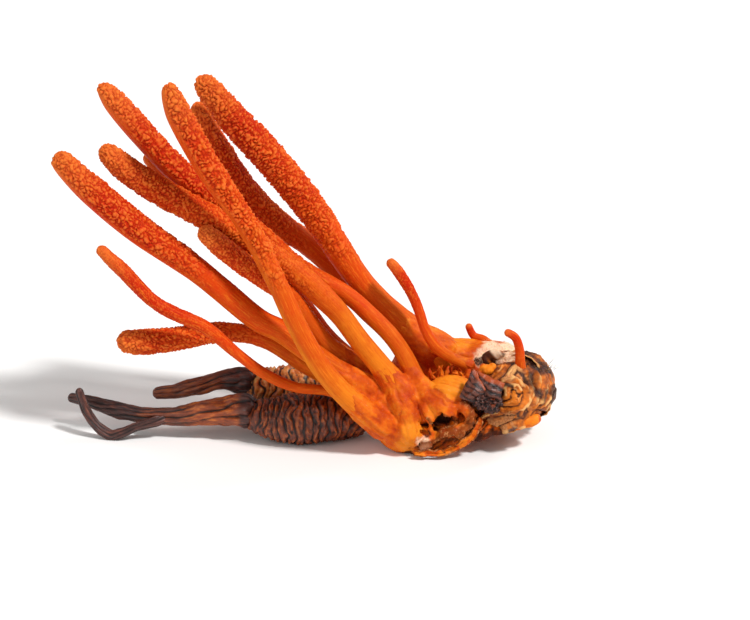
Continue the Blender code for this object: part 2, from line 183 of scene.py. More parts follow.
LARVAE = {
    "larva_front": [
        (-19, 1, 8.8, 9), (-11, 0, 7.4, 13), (-2, -0.5, 7.5, 15.5), (6, 0.5, 7.1, 14.6),
        (13, 2.5, 5.6, 11.6), (19, 5, 3.6, 7.4),
    ],
    "larva_back": [
        (-20, 15, 13.5, 8.5), (-12, 14.8, 12.4, 11.5), (-2, 15, 12, 13.2), (7, 16, 9.8, 12.4),
        (14, 17.5, 5.2, 10.4), (20, 19, 4, 7.6),
    ],
}
STALKS = {
    "stalk_front": [
        (-14.5, 1, 8.6, 9.5), (-19, 1.5, 9.2, 10.5), (-25, 2, 8.8, 9), (-32, 2, 8.2, 7.6),
        (-41, 2.5, 7, 5.8), (-49, 4, 6.6, 5), (-59.5, 7, 7.2, 5), (-68, 9, 9, 3.8), (-75.5, 11, 10, 2.9),
    ],
    "stalk_front_fork": [
        (-42, 2.6, 7, 2.8), (-46.5, 0.9, 6, 3.2), (-53, 0, 4.4, 2.8), (-57.5, 0, 2.4, 3.1),
        (-61.5, 0.7, 1.5, 3.1), (-66, 1.7, 4.6, 3.1), (-69, 2.6, 9.8, 3), (-71, 3.5, 16, 2.3),
    ],
    "stalk_back": [
        (-15.5, 15, 13.2, 8), (-20, 15, 13.8, 8.6), (-27, 14.3, 14.2, 6.2), (-34, 13.5, 12.7, 5.6),
        (-42, 13, 11.2, 4.6), (-49, 13, 10.4, 3.4),
    ],
}
CRUST = [
    (56.5, -13.4, 18, 9), (57.2, -12, 17.8, 15.5), (58.7, -9.5, 17.4, 19.8), (61, -4.5, 16.8, 23.4),
    (64, 1.5, 16, 25), (65.7, 7.5, 16, 25.2), (65, 12.5, 16.6, 20.5), (64.3, 16.3, 17.4, 12.5),
]
# Soft lumps: centre, half sizes, turn about Z in degrees.
ROOT_MAT = [
    (24, 0, 14, 10, 12, 9, 0), (31, -5, 7.5, 10, 10, 8.6, 0), (39, -4, 6.6, 10, 9.6, 8.4, -10),
    (45, -6, 9, 8, 7, 7, -20), (30, -4, 15, 6.5, 7, 7, 0), (41, 3, 12, 11, 9, 8.5, 0),
    (50, 9, 13, 16, 12, 11, 0), (40, 8, 8, 10, 8, 9, 0), (44, 13, 21.3, 10, 7.5, 7.5, -10),
    (56, 13, 20.3, 13, 8, 7.5, 5), (34, 12, 18, 8, 8, 8, 0), (51.5, -8.5, 8.2, 7, 5.2, 4.4, 0),
    (45, -4.5, 18.4, 7.4, 4.6, 5.2, -15), (31.5, -12, 8.5, 4.4, 4, 4.6, 0),
]
# Rolled edges and roots that stand out of the mat: x, y, z and diameter.
MAT_CORDS = [
    [(31.4, -2, 26.5, 4.6), (33.6, -3.6, 22.4, 6.2), (36.3, -6.6, 19.4, 7), (39.4, -9.8, 17.6, 7.2),
     (43, -11.6, 15.8, 7.6), (47, -12.4, 13.8, 5.6)],
    [(39, -9, 21, 3), (42.5, -10, 21, 3), (46.5, -10, 19.4, 3), (50, -10, 17.5, 2.4)],
    [(26, -9, 21, 6), (29.5, -10, 16.5, 7.4), (32, -11, 11, 8), (33, -11.5, 6, 7)],
    [(35.5, -10, 17, 5), (38.5, -12.4, 12.6, 4), (38, -13.4, 8, 3), (35.5, -13.4, 4, 2.6)],
    [(41, 12, 27, 4), (48, 14, 26.8, 3.6), (56, 15, 26, 3.4), (64, 15, 24.6, 3)],
    [(38, 7, 26.5, 5), (44, 8, 25.4, 4), (52, 9.5, 24.8, 3), (60, 11, 25, 2.4)],
    [(38.5, 3.6, 29.6, 4.6), (41.6, 3, 27.6, 4), (46.2, 2.6, 25.2, 3), (51.5, 2, 23.8, 1.8)],
    [(54, -10, 8, 4), (59, -8.6, 7.4, 3.6), (64, -6, 7.6, 3)],
    [(45, -12, 17.6, 3.6), (48.6, -13.8, 16.2, 3.6), (50.4, -14.6, 13.6, 3.4), (49, -15, 11, 3),
     (45.5, -15, 9.6, 2.8), (41.5, -14.6, 8.4, 2.6)],
]
MAT_RIMS = [
    [(48, -12, 18), (49.5, -13, 16.5), (50.6, -14, 14), (50, -14, 11.3), (47.5, -14, 9.3), (44, -14, 8.8),
     (40.6, -14, 7.2), (37.2, -14, 4.6), (33.5, -14, 1.8)],
    [(37.2, -14, 13.4), (39, -14, 11), (41.2, -14, 9.8), (44, -14, 10.4), (46.8, -14, 11.8), (45, -14, 13.4),
     (42, -14, 14.4)],
]
MAT_FOOT = [(53, -14, 11.5), (51, -14, 8), (47, -14, 4.8), (42, -14, 3.2), (37, -14, 1.8)]
# Creases between the clubs' feet, pressed in and painted with shade.
MAT_CREASES = [
    [(39, -11, 21.2), (42.7, -11, 18.6), (47.6, -11, 16.7), (49.6, -11, 15)],
    [(35.8, -12, 27.6), (37.8, -12, 21.5), (41.9, -12, 17.2), (46.8, -12, 14.3)],
    [(29.7, -13, 26.2), (32.5, -13, 19.2), (35.8, -13, 14.1), (37, -13, 10.6)],
    [(23.2, -12, 31.8), (26.4, -12, 25.8), (28.9, -12, 18.9), (29.3, -12, 11.2)],
]
# Soft dents: centre, radius and depth in mm.
MAT_DENTS = [
    (42.5, 3.5, 23.5, 4.2, 2.6), (47, -0.5, 24, 3, 1.0), (38, 0, 26, 2.6, 1.2),
    (42.6, -14, 12.2, 1.8, 3.0),
]
CRUST_DENTS = [
    (58, 3, 28, 6.5, 2.2), (57.6, -13.4, 19.6, 3.6, 1.2), (70.5, -8, 22.2, 1.7, 1.3),
    (62.4, -12.6, 22.8, 1.7, 1.6), (54.8, 4, 25, 1.3, 1.2), (58, 4, 25.2, 1.2, 1.0),
    (62, 4, 24.6, 1.5, 1.3),
]
# Raised lips that run across the crust, each with its height in mm.
CRUST_RIMS = [
    (1.1, [(59.5, -13, 22.5), (60, -13, 25), (62.5, -13, 26), (65.5, -13, 25), (68, -13, 23), (69, -13, 20.5),
           (68, -13, 17.5), (65.5, -13, 16), (62.5, -13, 15), (60, -13, 14.5), (56.5, -13, 14),
           (54, -13, 13)]),
    (0.7, [(60, -13, 20), (60.5, -13, 23), (62, -13, 24), (64.5, -13, 24), (65.5, -13, 22)]),
    (1.0, [(60, -10, 24.5), (61.5, -10, 25.5), (63, -10, 28), (64.5, -10, 29.5), (66, -10, 29), (68, -10, 28),
           (69, -10, 25), (70, -10, 21.5), (69.5, -10, 19)]),
    (1.0, [(69.5, -8, 29), (71, -8, 26.5), (72, -8, 23), (72, -8, 20), (70, -8, 16.5), (67, -8, 14.5),
           (66, -8, 11.5)]),
    (0.9, [(73.5, -6, 26), (74.5, -6, 22.5), (74, -6, 19), (72, -6, 15.5), (68.5, -6, 13)]),
    (0.9, [(75.5, -4, 23), (76, -4, 19.5), (75.5, -4, 17), (74, -4, 14), (70.5, -4, 12), (67, -4, 9),
           (66, -4, 7.5)]),
    (0.8, [(77, -2, 17.5), (77, -2, 15), (76, -2, 12.5), (74, -2, 10.5)]),
    (1.2, [(50, -11, 4), (54.5, -11, 5.5), (58.5, -11, 5.5), (61.5, -11, 8), (65, -11, 9.5),
           (66.5, -11, 10)]),
    (0.8, [(49.5, -11, 2.5), (55.5, -11, 3.5), (59.5, -11, 6), (62.5, -11, 8)]),
]
# Painted shade in streaks under the layers' edges, each with its half width in mm.
CRUST_LEDGE_SHADES = [
    (1.5, [(67, 3, 30.6), (69.6, 1, 28), (71.4, 0, 25.6), (72.6, -1, 24)]),
    (1.1, [(73, 2, 26), (75.4, 2, 23.6), (77, 2, 20.6)]),
    (1.2, [(69.2, -6, 24.4), (70.2, -6, 21.6), (71, -6, 19), (72.2, -6, 17.4)]),
    (0.7, [(74.4, -4, 18.2), (73, -4, 15.4), (70.4, -6, 11)]),
    (0.7, [(76.6, -2, 17.4), (76.4, -2, 13.6)]),
    (0.7, [(59, -13, 20.6), (59.2, -13, 23), (60.8, -13, 24), (62.4, -13, 23.4)]),
    (0.8, [(47.5, -12, 2.8), (54, -12, 4.4), (59, -12, 5.6), (63.8, -10, 8.2)]),
    (0.5, [(66.4, -10, 27.2), (68.2, -9, 24), (68.4, -9, 20)]),
]
# Thin layers that stand off the crust: distance along it in mm, first and last turn in degrees, rise and
# reach in mm.
FLAKES = [
    (13.5, 40, 120, 0.8, 2.6), (18.6, -112, -60, 0.8, 3.0), (20.4, -20, 45, 0.8, 3.0),
    (23.5, 0, 90, 0.8, 3.0), (17.5, 100, 170, 0.8, 2.8), (22, -175, -110, 0.8, 2.6),
]
BOTTOM_LOBE = [(67.8, -7.6, 10, 4.8, 3, 2.4, 20), (65, -8.4, 9, 2.6, 2.4, 1.8, 10)]
CHAR_KNOB = [(53.3, -14.2, 19.5, 2.8, 2.5, 2.8, 0), (56.4, -13.6, 18.2, 3.3, 2.8, 3.1, 0)]
YELLOW_BUD = [
    (55.6, -7.4, 26.4, 1.8, 1.8, 1.6, 0), (54.2, -7, 27.2, 1.3, 1.4, 1.2, 0),
    (57, -6.6, 27.4, 1.1, 1.2, 1.1, 0), (53.2, -7.6, 25.4, 1.3, 1.2, 1.3, 0),
]
HUSK_LEFT = [(51.2, -9.8, 27.7), (47, -14.2, 20.4), (50.8, -15.4, 19.4), (54.6, -14.6, 22.9)]
HUSK_RIGHT = [(51.8, -9.5, 27.4), (54.2, -15.1, 21.2), (59.2, -15.4, 19.6), (60.4, -13.8, 24.6)]
RIND_FOLD = [(33, -15, 2.4), (42, -14.6, 2.6), (49, -14.2, 6), (52.5, -14, 10.5), (53.2, -13.8, 13.6)]

# Where the mat and the crust carry a mark: x, y, z and radius.
MAT_HOLES = [
    (39.7, -14, 10.4, 1.5), (41.6, -13.5, 12.9, 1.7), (43.8, -13.5, 13.0, 1.2),
    (36.2, -14.5, 11.4, 0.9), (37.2, -14.5, 8.2, 1.1),
]
MAT_MARKS = {
    # The dark marks are painted shade: in the holes and pits, under the knob and the husks, and low along the
    # foot.
    "dark": [
        (39.8, -13.5, 10.6, 1.3), (41.6, -13.5, 12.4, 1.6), (43.6, -13.5, 12.6, 1.3),
        (36.4, -14.5, 11.0, 1.0), (37.0, -14.5, 8.2, 1.2), (49.6, -13, 18.2, 1.3), (53.8, 5, 24.6, 1.4),
        (59.3, 5, 25.0, 1.6), (63.4, 5, 24.1, 2.0), (31.6, -14, 1.1, 1.8), (38.5, -15, 3.2, 1.2),
        (52, -12, 6.5, 3.4), (57, -11, 6.2, 3.0), (51.6, -8, 20.4, 2.2), (47.6, -12, 18.2, 1.0),
        (42.6, -15, 5.8, 1.0), (61, -9, 7, 2.4), (56.5, 4, 24, 1.5), (56.7, 4, 26, 1.2),
    ],
    "pale": [
        (54.8, 8, 24.3, 2.6), (59.3, 9, 25.5, 3.4), (63.1, 11, 26.4, 3.0), (35.6, -14.5, 6.0, 1.8),
        (57, 12, 27, 2.6),
    ],
    "yellow": [
        (32.5, -13.5, 9.6, 3.4), (43.9, -6, 20.4, 4.2), (31, -14, 4.6, 3.0), (47, -6, 21.4, 3.4),
        (40.6, -6, 21.6, 3), (52.6, -14.6, 10.6, 1.5), (49, 14, 28.4, 3.5), (47.4, -15, 6.4, 1.6),
    ],
    # The red marks paint deep red shade into the hollows between the clubs' feet.
    "red": [
        (40.1, 4, 24.4, 4.2), (43.5, 2, 22.4, 3.8), (49.4, 3, 22.5, 3.4), (30.5, -9, 20, 2.6),
        (38.5, 1, 26.5, 3.0), (46.5, 6, 24.5, 2.6),
    ],
}
# How soft the edge of each kind of mark is.
MARK_EDGES = {"dark": 0.4, "pale": 0.4, "yellow": 0.55, "red": 0.5, "bloom": 0.4}
CRUST_MARKS = {
    # The four dark marks round (56, 2, 26) are painted shade in the pits under the bloom; the others are dark
    # patches.
    "dark": [
        (52.6, -13, 15.4, 1.6), (54.8, 2, 25.4, 1.9), (58, 0.5, 25.8, 1.6), (56.8, 3.4, 26.4, 1.3),
        (61.6, -1.5, 25.2, 1.5), (65.4, -13, 20.4, 0.9), (73.6, -5, 16.2, 0.9), (51, -11, 3.4, 2.6),
        (55, -11, 3.4, 2.2), (76, 6, 14, 3), (70, 14, 24, 3), (66, 16, 12, 3.4), (73, 10, 6, 3),
    ],
    "pale": [
        (55.6, -12.6, 9.6, 3.0), (58.8, -12, 9.6, 2.8), (61.4, -11.5, 11.8, 2.2), (63, -10, 27, 2.2),
        (65.4, -10, 27.6, 1.8), (61.5, -9, 26, 1.6), (67, -10, 25.6, 1.4), (72.6, 0, 27.6, 1.0),
    ],
    "bloom": [
        (58.5, 3.5, 28.6, 2.2), (62.5, 3.5, 28.6, 2.4), (65.6, 2, 29, 1.4),
    ],
    "yellow": [
        (66, -11, 18.6, 3.0), (63.5, -12, 18.6, 3.0), (68.7, -8, 11.1, 3.0), (72.6, -5, 24.6, 2.0),
        (71.4, -6, 13.6, 2.0), (75.4, -3, 15.6, 1.6), (64.6, -12, 21.4, 1.6), (70, -7, 14.6, 1.8),
    ],
}


# ---------------------------------------------------------------------------------------------- numbers


def srgb(code):
    """A hex colour as linear red, green, blue and alpha."""
    parts = [int(code[i:i + 2], 16) / 255 for i in (1, 3, 5)]
    return (*[c / 12.92 if c <= 0.04045 else ((c + 0.055) / 1.055) ** 2.4 for c in parts], 1.0)


def ease(value, low, high):
    """0 below low, 1 above high and smooth between."""
    t = np.clip((value - low) / (high - low), 0, 1)
    return t * t * (3 - 2 * t)


def lattice(cell, seed):
    """A repeatable value from 0 to 1 for each row of whole numbers."""
    mixed = cell[:, 0] * 374761393 + cell[:, 1] * 668265263 + cell[:, 2] * 1440662683 + seed * 362437
    mixed = mixed & 0xFFFFFFFF
    mixed = ((mixed ^ (mixed >> 13)) * 1274126177) & 0xFFFFFFFF
    mixed = ((mixed ^ (mixed >> 15)) * 1103515245) & 0xFFFFFFFF
    return ((mixed ^ (mixed >> 16)) & 0xFFFFFF) / 0xFFFFFF


def soft_noise(points, size, seed):
    """Soft lumps about size across, from -1 to 1, at each point. size may differ along the three axes.
    Two grids lie across each other, so that neither shows."""
    scaled = points / np.asarray(size, float) + 0.37
    total = np.zeros(len(points))
    for turned in (scaled, scaled @ SPIN * 1.13 + 5.2):
        base = np.floor(turned)
        part = turned - base
        cell = base.astype(np.int64)
        part = part * part * part * (part * (part * 6 - 15) + 10)
        for step in itertools.product((0, 1), repeat=3):
            share = np.prod(np.where(step, part, 1 - part), axis=1)
            total += share * lattice(cell + np.array(step), seed)
    return (total - 1) * 1.4


def rough_noise(points, size, seed, layers=3):
    """Soft noise with finer layers added, each half as large and half as high."""
    total = 0
    for i in range(layers):
        total = total + soft_noise(points, np.asarray(size, float) / 2**i, seed + 17 * i) / 2**i
    return total / 1.6


def cell_noise(points, size, seed):
    """How far off the nearest and the next scattered seed are, in grain widths, and the two seeds' values."""
    scaled = points / np.asarray(size, float) @ SPIN + 0.37
    cell = np.floor(scaled).astype(np.int64)
    near = np.full(len(points), 9.0)
    after = np.full(len(points), 9.0)
    own = np.zeros(len(points))
    kin = np.zeros(len(points))
    for step in itertools.product((-1, 0, 1), repeat=3):
        there = cell + np.array(step)
        spot = np.stack([lattice(there, seed + k) for k in range(3)], axis=1)
        far = ((there + spot - scaled) ** 2).sum(axis=1)
        closer = far < near
        second = ~closer & (far < after)
        kin = np.where(closer, own, np.where(second, spot[:, 0], kin))
        after = np.where(closer, near, np.where(second, far, after))
        own = np.where(closer, spot[:, 0], own)
        near = np.where(closer, far, near)
    return np.sqrt(near), np.sqrt(after), own, kin


def warped(points, size, amount, seed):
    """The points pushed about by soft noise, so that what is drawn on them wanders."""
    push = np.stack([soft_noise(points, size, seed + k) for k in range(3)], axis=1)
    return points + push * amount


def grain_height(points, width, seed):
    """Rounded grains of that width, some run together into short worms: 0 in the creases, 1 on the crowns."""
    near, after, own, kin = cell_noise(warped(points, width * 1.4, width * 0.40, seed + 5), width, seed)
    split = np.clip((after - near) / 0.72, 0, 1)
    joined = 1 - ease(np.abs(own - kin), 0.10, 0.26)
    split = split + (1 - split) * joined * 0.62
    return (1 - (1 - split) ** 2) * (0.62 + 0.38 * np.clip(1 - (near / 0.8) ** 2, 0, 1))


def beside(points, guide):
    """How far each point lies from a line through the guide, in mm. Depth counts for little."""
    fine = smooth_curve([(*spot, 1) for spot in guide])[0]
    nearest = np.full(len(points), 99.0)
    for spot in fine[::4, :3]:
        away = points - spot
        away = away - np.outer(away @ MARK_DEPTH, MARK_DEPTH) * RIM_REACH
        nearest = np.minimum(nearest, np.linalg.norm(away, axis=1))
    return nearest


def marks(points, spots, seed, soft=0.16):
    """1 inside any of the spots and 0 outside, with ragged edges. A spot reaches deeper than it is wide."""
    moved = warped(warped(points, 2.6, 1.0, seed), 0.9, 0.5, seed + 3)
    best = np.full(len(points), -1.0)
    for *centre, radius in spots:
        away = moved - np.array(centre)
        away = away - np.outer(away @ MARK_DEPTH, MARK_DEPTH) * MARK_REACH
        best = np.maximum(best, 1 - np.linalg.norm(away, axis=1) / radius)
    return ease(best, 0.06 - soft, 0.06 + soft)


# ---------------------------------------------------------------------------------------------- meshes


def read(mesh, name=None, width=3):
    """A mesh's points, or one of its point attributes, as an array with a row for each vertex."""
    if name is None:
        flat = np.empty(len(mesh.vertices) * 3, np.float32)
        mesh.vertices.foreach_get("co", flat)
        return flat.reshape(-1, 3).astype(float)
    flat = np.empty(len(mesh.vertices) * width, np.float32)
    mesh.attributes[name].data.foreach_get("vector" if width == 3 else "value", flat)
    return flat.reshape(-1, 3).astype(float) if width == 3 else flat.astype(float)


def store(mesh, name, values):
    """Keeps a number or a vector for each vertex under that name."""
    vector = values.ndim == 2
    kind = "FLOAT_VECTOR" if vector else "FLOAT"
    kept = mesh.attributes.get(name) or mesh.attributes.new(name, kind, "POINT")
    kept.data.foreach_set("vector" if vector else "value", values.astype(np.float32).ravel())


def normals(mesh):
    """The direction each vertex faces in."""
    flat = np.empty(len(mesh.vertices) * 3, np.float32)
    mesh.vertices.foreach_get("normal", flat)
    return flat.reshape(-1, 3).astype(float)


def move(mesh, points):
    """Puts the mesh's vertices at these points, in metres."""
    mesh.vertices.foreach_set("co", points.astype(np.float32).ravel())
    mesh.update()


def table_points(mesh):
    """The mesh's points in the tables' millimetres."""
    return read(mesh) / MM - CENTRING


def to_frame(points):
    """Points in the tables' millimetres as points in the frame's metres."""
    return (points + CENTRING) * MM


def raise_skin(mesh, height):
    """Moves every vertex out along its normal by its own height in millimetres."""
    move(mesh, read(mesh) + normals(mesh) * height[:, None] * MM)


def keep_above(mesh, height_mm):
    """Lifts whatever lies lower than that height up to it."""
    points = read(mesh)
    points[:, 2] = np.maximum(points[:, 2], height_mm * MM)
    move(mesh, points)


def dented(points, dents):
    """How deep each point is pushed in, in mm, by soft dents given by centre, radius and depth."""
    deep = np.zeros(len(points))
    for x, y, z, radius, depth in dents:
        deep += depth * np.exp(-((np.linalg.norm(points - np.array((x, y, z)), axis=1) / radius) ** 2))
    return deep


def walled(mesh, thickness_mm):
    """Gives a sheet a real thickness and turns its faces outwards."""
    bm = bmesh.new()
    bm.from_mesh(mesh)
    bmesh.ops.recalc_face_normals(bm, faces=bm.faces)
    bmesh.ops.solidify(bm, geom=bm.faces[:], thickness=thickness_mm * MM)
    bmesh.ops.recalc_face_normals(bm, faces=bm.faces)
    bm.to_mesh(mesh)
    bm.free()
    mesh.update()


def grid(name, along, around):
    """A flat sheet of small faces, with x and y from 0 to 1."""
    bm = bmesh.new()
    corner = Matrix.Translation((0.5, 0.5, 0))
    bmesh.ops.create_grid(bm, x_segments=along, y_segments=around, size=0.5, matrix=corner)
    mesh = bpy.data.meshes.new(name)
    bm.to_mesh(mesh)
    bm.free()
    return mesh


def weld(mesh, distance=1e-7):
    """Merges the mesh's doubles and turns its faces outwards."""
    bm = bmesh.new()
    bm.from_mesh(mesh)
    bmesh.ops.remove_doubles(bm, verts=bm.verts, dist=distance)
    bmesh.ops.dissolve_degenerate(bm, edges=bm.edges, dist=1e-8)
    bmesh.ops.recalc_face_normals(bm, faces=bm.faces)
    bm.to_mesh(mesh)
    bm.free()
    mesh.update()


def smooth_curve(guide):
    """The smooth curve through a guide: x, y, z and diameter every FINE_STEP, with the length up to each."""
    given = np.array(guide, float)
    padded = np.vstack([given[:1], given, given[-1:]])
    rows = []
    for a, b, c, d in zip(padded, padded[1:], padded[2:], padded[3:]):
        count = max(2, int(np.linalg.norm(c[:3] - b[:3]) / FINE_STEP))
        t = np.arange(count)[:, None] / count
        bend, twist = 2 * a - 5 * b + 4 * c - d, 3 * b - a - 3 * c + d
        rows.append(0.5 * (2 * b + (c - a) * t + bend * t**2 + twist * t**3))
    fine = np.vstack([*rows, given[-1:]])
    gone = np.concatenate([[0], np.cumsum(np.linalg.norm(np.diff(fine[:, :3], axis=0), axis=1))])
    return fine, gone


def frames(fine):
    """A curve's tangents and two directions across it that don't spin, the first facing the front."""
    tangents = np.gradient(fine[:, :3], axis=0)
    tangents /= np.linalg.norm(tangents, axis=1)[:, None]
    side = np.array((0.0, -1.0, 0.0))
    sides = []
    for tangent in tangents:
        side = side - tangent * (side @ tangent)
        side = side / np.linalg.norm(side)
        sides.append(side)
    sides = np.array(sides)
    return tangents, sides, np.cross(tangents, sides)


def measured(guide):
    """A guide's smooth curve with its length and the directions across it."""
    fine, gone = smooth_curve(guide)
    _, sides, crosses = frames(fine)
    return fine, gone, sides, crosses


def around_path(path, depth, turn, radius):
    """Points that lie these distances along a path, turned round it and this far from it."""
    fine, gone, sides, crosses = path

    def along(values):
        return np.stack([np.interp(depth, gone, values[:, k]) for k in range(3)], axis=1)

    outward = along(sides) * np.cos(turn)[:, None] + along(crosses) * np.sin(turn)[:, None]
    return along(fine) + outward * radius[:, None]


def thickness_at(path, depth):
    """Half the path's diameter at these distances along it, in mm."""
    return np.interp(depth, path[1], path[0][:, 3]) / 2


def tube(name, guide, spacing, around, start_cap=None, tip_cap=None):
    """A closed tube with domed ends, rolled from a grid. It keeps for each point how far along it lies and
    where it would be if the tube were straight. spacing gives the distance between rings at a share of the
    length."""
    path = measured(guide)
    length = path[1][-1]
    first = guide[0][3] / 2 if start_cap is None else start_cap
    last = guide[-1][3] / 2 if tip_cap is None else tip_cap
    bend = np.sin(np.linspace(0, math.pi / 2, 12))
    rings = list(first * (1 - bend[::-1]))
    while rings[-1] < length - last:
        rings.append(rings[-1] + spacing(rings[-1] / length))
    rings[-1] = length - last
    rings = np.array(rings + list(length - last * (1 - bend[1:])))
    dome = np.sqrt(np.clip(1 - (1 - np.minimum(rings, first) / first) ** 2, 0, 1))
    dome *= np.sqrt(np.clip(1 - (1 - np.minimum(length - rings, last) / last) ** 2, 0, 1))

    mesh = grid(name, len(rings) - 1, around)
    corner = read(mesh)
    at = np.rint(corner[:, 0] * (len(rings) - 1)).astype(int)
    turn = np.mod(np.rint(corner[:, 1] * around), around) * 2 * math.pi / around
    radius = (thickness_at(path, rings) * dome)[at]
    move(mesh, to_frame(around_path(path, rings[at], turn, radius)))
    store(mesh, "straight", np.stack([radius * np.cos(turn), radius * np.sin(turn), rings[at]], axis=1))
    store(mesh, "along", rings[at] / length)
    weld(mesh)
    return mesh


def fused(name, blobs, cords, voxel, rounds):
    """Ellipsoids and cords melted into one closed skin."""
    bm = bmesh.new()
    for x, y, z, rx, ry, rz, turn in blobs:
        centre = Matrix.Translation(Vector(to_frame(np.array((x, y, z)))))
        place = centre @ Matrix.Rotation(math.radians(turn), 4, "Z")
        size = Matrix.Diagonal((rx * MM, ry * MM, rz * MM, 1))
        bmesh.ops.create_icosphere(bm, subdivisions=4, radius=1, matrix=place @ size)
    for guide in cords:
        cord = tube(name + "_cord", guide, lambda share: 0.8, 18)
        bm.from_mesh(cord)
        bpy.data.meshes.remove(cord)
    mesh = bpy.data.meshes.new(name + "_parts")
    bm.to_mesh(mesh)
    bm.free()
    obj = bpy.data.objects.new(name + "_parts", mesh)
    bpy.context.scene.collection.objects.link(obj)
    melt = obj.modifiers.new("melt", "REMESH")
    melt.mode = "VOXEL"
    melt.voxel_size = voxel * MM
    soften = obj.modifiers.new("soften", "SMOOTH")
    soften.iterations = rounds
    graph = bpy.context.evaluated_depsgraph_get()
    skin = bpy.data.meshes.new_from_object(obj.evaluated_get(graph), depsgraph=graph)
    skin.name = name
    bpy.data.objects.remove(obj, do_unlink=True)
    return skin


def join(name, meshes):
    """One mesh made of several."""
    bm = bmesh.new()
    for mesh in meshes:
        bm.from_mesh(mesh)
    whole = bpy.data.meshes.new(name)
    bm.to_mesh(whole)
    bm.free()
    return whole


def finish_piece(name, mesh, material, slot, *nodes):
    """The shown piece made of this mesh, riding on the bunch and standing for its CAD nodes."""
    mesh.materials.clear()
    mesh.materials.append(material)
    mesh.shade_smooth()
    piece = bpy.data.objects.new(name, mesh)
    bpy.context.scene.collection.objects.link(piece)
    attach(piece, BODY)
    if nodes:
        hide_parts(*nodes)
    return piece


# ------------------------------------------------------------------------------------------- materials


def new_material(name):
    """A node material: itself, its tree, its Principled shader and object coordinates in millimetres."""
    made = bpy.data.materials.new(name)
    made.use_nodes = True
    tree = made.node_tree
    place = add(tree, "ShaderNodeTexCoord", out="Object")
    place = add(tree, "ShaderNodeVectorMath", {0: place, "Scale": 1 / MM}, operation="SCALE")
    return made, tree, tree.nodes["Principled BSDF"], place


def add(tree, kind, sockets=None, out=0, stops=None, **settings):
    """Adds a node with its settings and links, and gives back one of its outputs. sockets names the inputs:
    each takes a value, or a socket to link."""
    made = tree.nodes.new(kind)
    for key, value in settings.items():
        setattr(made, key, value)
    for socket, value in (sockets or {}).items():
        if isinstance(value, bpy.types.NodeSocket):
            tree.links.new(value, made.inputs[socket])
        else:
            made.inputs[socket].default_value = value
    if stops:
        elements = made.color_ramp.elements
        while len(elements) < len(stops):
            elements.new(0.5)
        for element, (position, colour) in zip(elements, stops):
            element.position = position
            element.color = colour
    return made.outputs[out]


def settle(shader, values):
    """Sets the shader's own sockets, which are the same all over the surface."""
    for socket, value in values.items():
        shader.inputs[socket].default_value = value


def link_finish(tree, shader, body, roughness, bump):
    """Links a finish to its shader: its colour, its roughness and its bump."""
    for made, socket in ((body, "Base Color"), (roughness, "Roughness"), (bump, "Normal")):
        tree.links.new(made, shader.inputs[socket])


def painted(tree, base, *layers):
    """Colours laid over a base. A layer gives the value it follows, where on it the layer starts and is full,
    its strength, its colour and any values that hold it back."""
    for value, start, full, strength, colour, *held in layers:
        share = add(tree, RANGE, {0: value, 1: start, 2: full, 3: 0.0, 4: strength}, **SMOOTH)
        for value in held:
            share = add(tree, MATH, {0: share, 1: value}, operation="MULTIPLY")
        base = add(tree, MIX, {0: share, 6: base, 7: colour}, out=2, data_type="RGBA")
    return base


def stroma_material(look):
    """Fungus flesh: waxy and faintly velvety. It glows where thin. Painted shade turns it deep red in the
    creases between its grains, and a painted highlight lightens their crowns."""
    made, tree, shader, _ = new_material("fungus_stroma")
    straight = add(tree, ATTRIBUTE, out="Vector", attribute_name="straight")
    along, grain, fertile, tone = (
        add(tree, ATTRIBUTE, out="Fac", attribute_name=name) for name in ("along", "grain", "fertile", "tone")
    )
    blotch = add(tree, NOISE, {"Vector": straight, "Scale": 1 / 5.0, "Detail": 2.0})
    # tone: the club's own tone, set lighter on the shaded clubs as painted light
    age = add(tree, MATH, {0: tone, 1: 0.30, 2: along}, operation="MULTIPLY_ADD")
    age = add(tree, MATH, {0: blotch, 1: 0.35, 2: age}, operation="MULTIPLY_ADD")
    body = add(tree, "ShaderNodeValToRGB", {0: age}, stops=[
        (0.17, look.root_colour), (0.39, look.stem_colour), (0.72, look.club_colour), (1.0, look.deep_colour),
    ])
    stretched = add(tree, "ShaderNodeMapping", {"Vector": straight, "Scale": (1, 1, 0.09)})
    fibre = add(tree, NOISE, {"Vector": stretched, "Scale": 1 / 0.42, "Detail": 3.0, "Roughness": 0.6})
    freckle = add(tree, NOISE, {"Vector": straight, "Scale": 1 / 0.55, "Detail": 3.0, "Roughness": 0.65})
    body = painted(
        tree, body,
        (fibre, 0.50, 0.72, 0.45, look.fibre_colour),
        (fibre, 0.48, 0.30, 0.40, look.deep_colour),
        (freckle, 0.56, 0.70, 0.18, look.pale_and_highlight_colour),
        (along, 0.84, 1.0, 0.45, look.pale_and_highlight_colour),
        # painted shade: the creases between the grains turn deep red
        (grain, 0.46, 0.04, 0.62, look.crease_shade_colour, fertile),
        # painted highlight: the grains' crowns are lightened
        (grain, 0.48, 0.95, 0.44, look.pale_and_highlight_colour, fertile),
    )
    fine = add(tree, NOISE, {"Vector": straight, "Scale": 1 / 0.16, "Detail": 4.0, "Roughness": 0.65})
    matt = add(tree, RANGE, {0: fine, 1: 0.3, 2: 0.7, 3: 0.44, 4: 0.64}, **SMOOTH)
    height = add(tree, MATH, {0: fibre, 1: 0.9, 2: fine}, operation="MULTIPLY_ADD")
    bump = add(tree, "ShaderNodeBump", {"Height": height, "Distance": 0.10 * MM, "Strength": 0.55})
    link_finish(tree, shader, body, matt, bump)
    translucent(shader, look.glow, 0.45)
    settle(shader, {
        "IOR": 1.42,
        "Specular IOR Level": 0.09,
        "Sheen Weight": 0.06,
        "Sheen Roughness": 0.4,
        "Sheen Tint": look.pale_and_highlight_colour,
    })
    return made


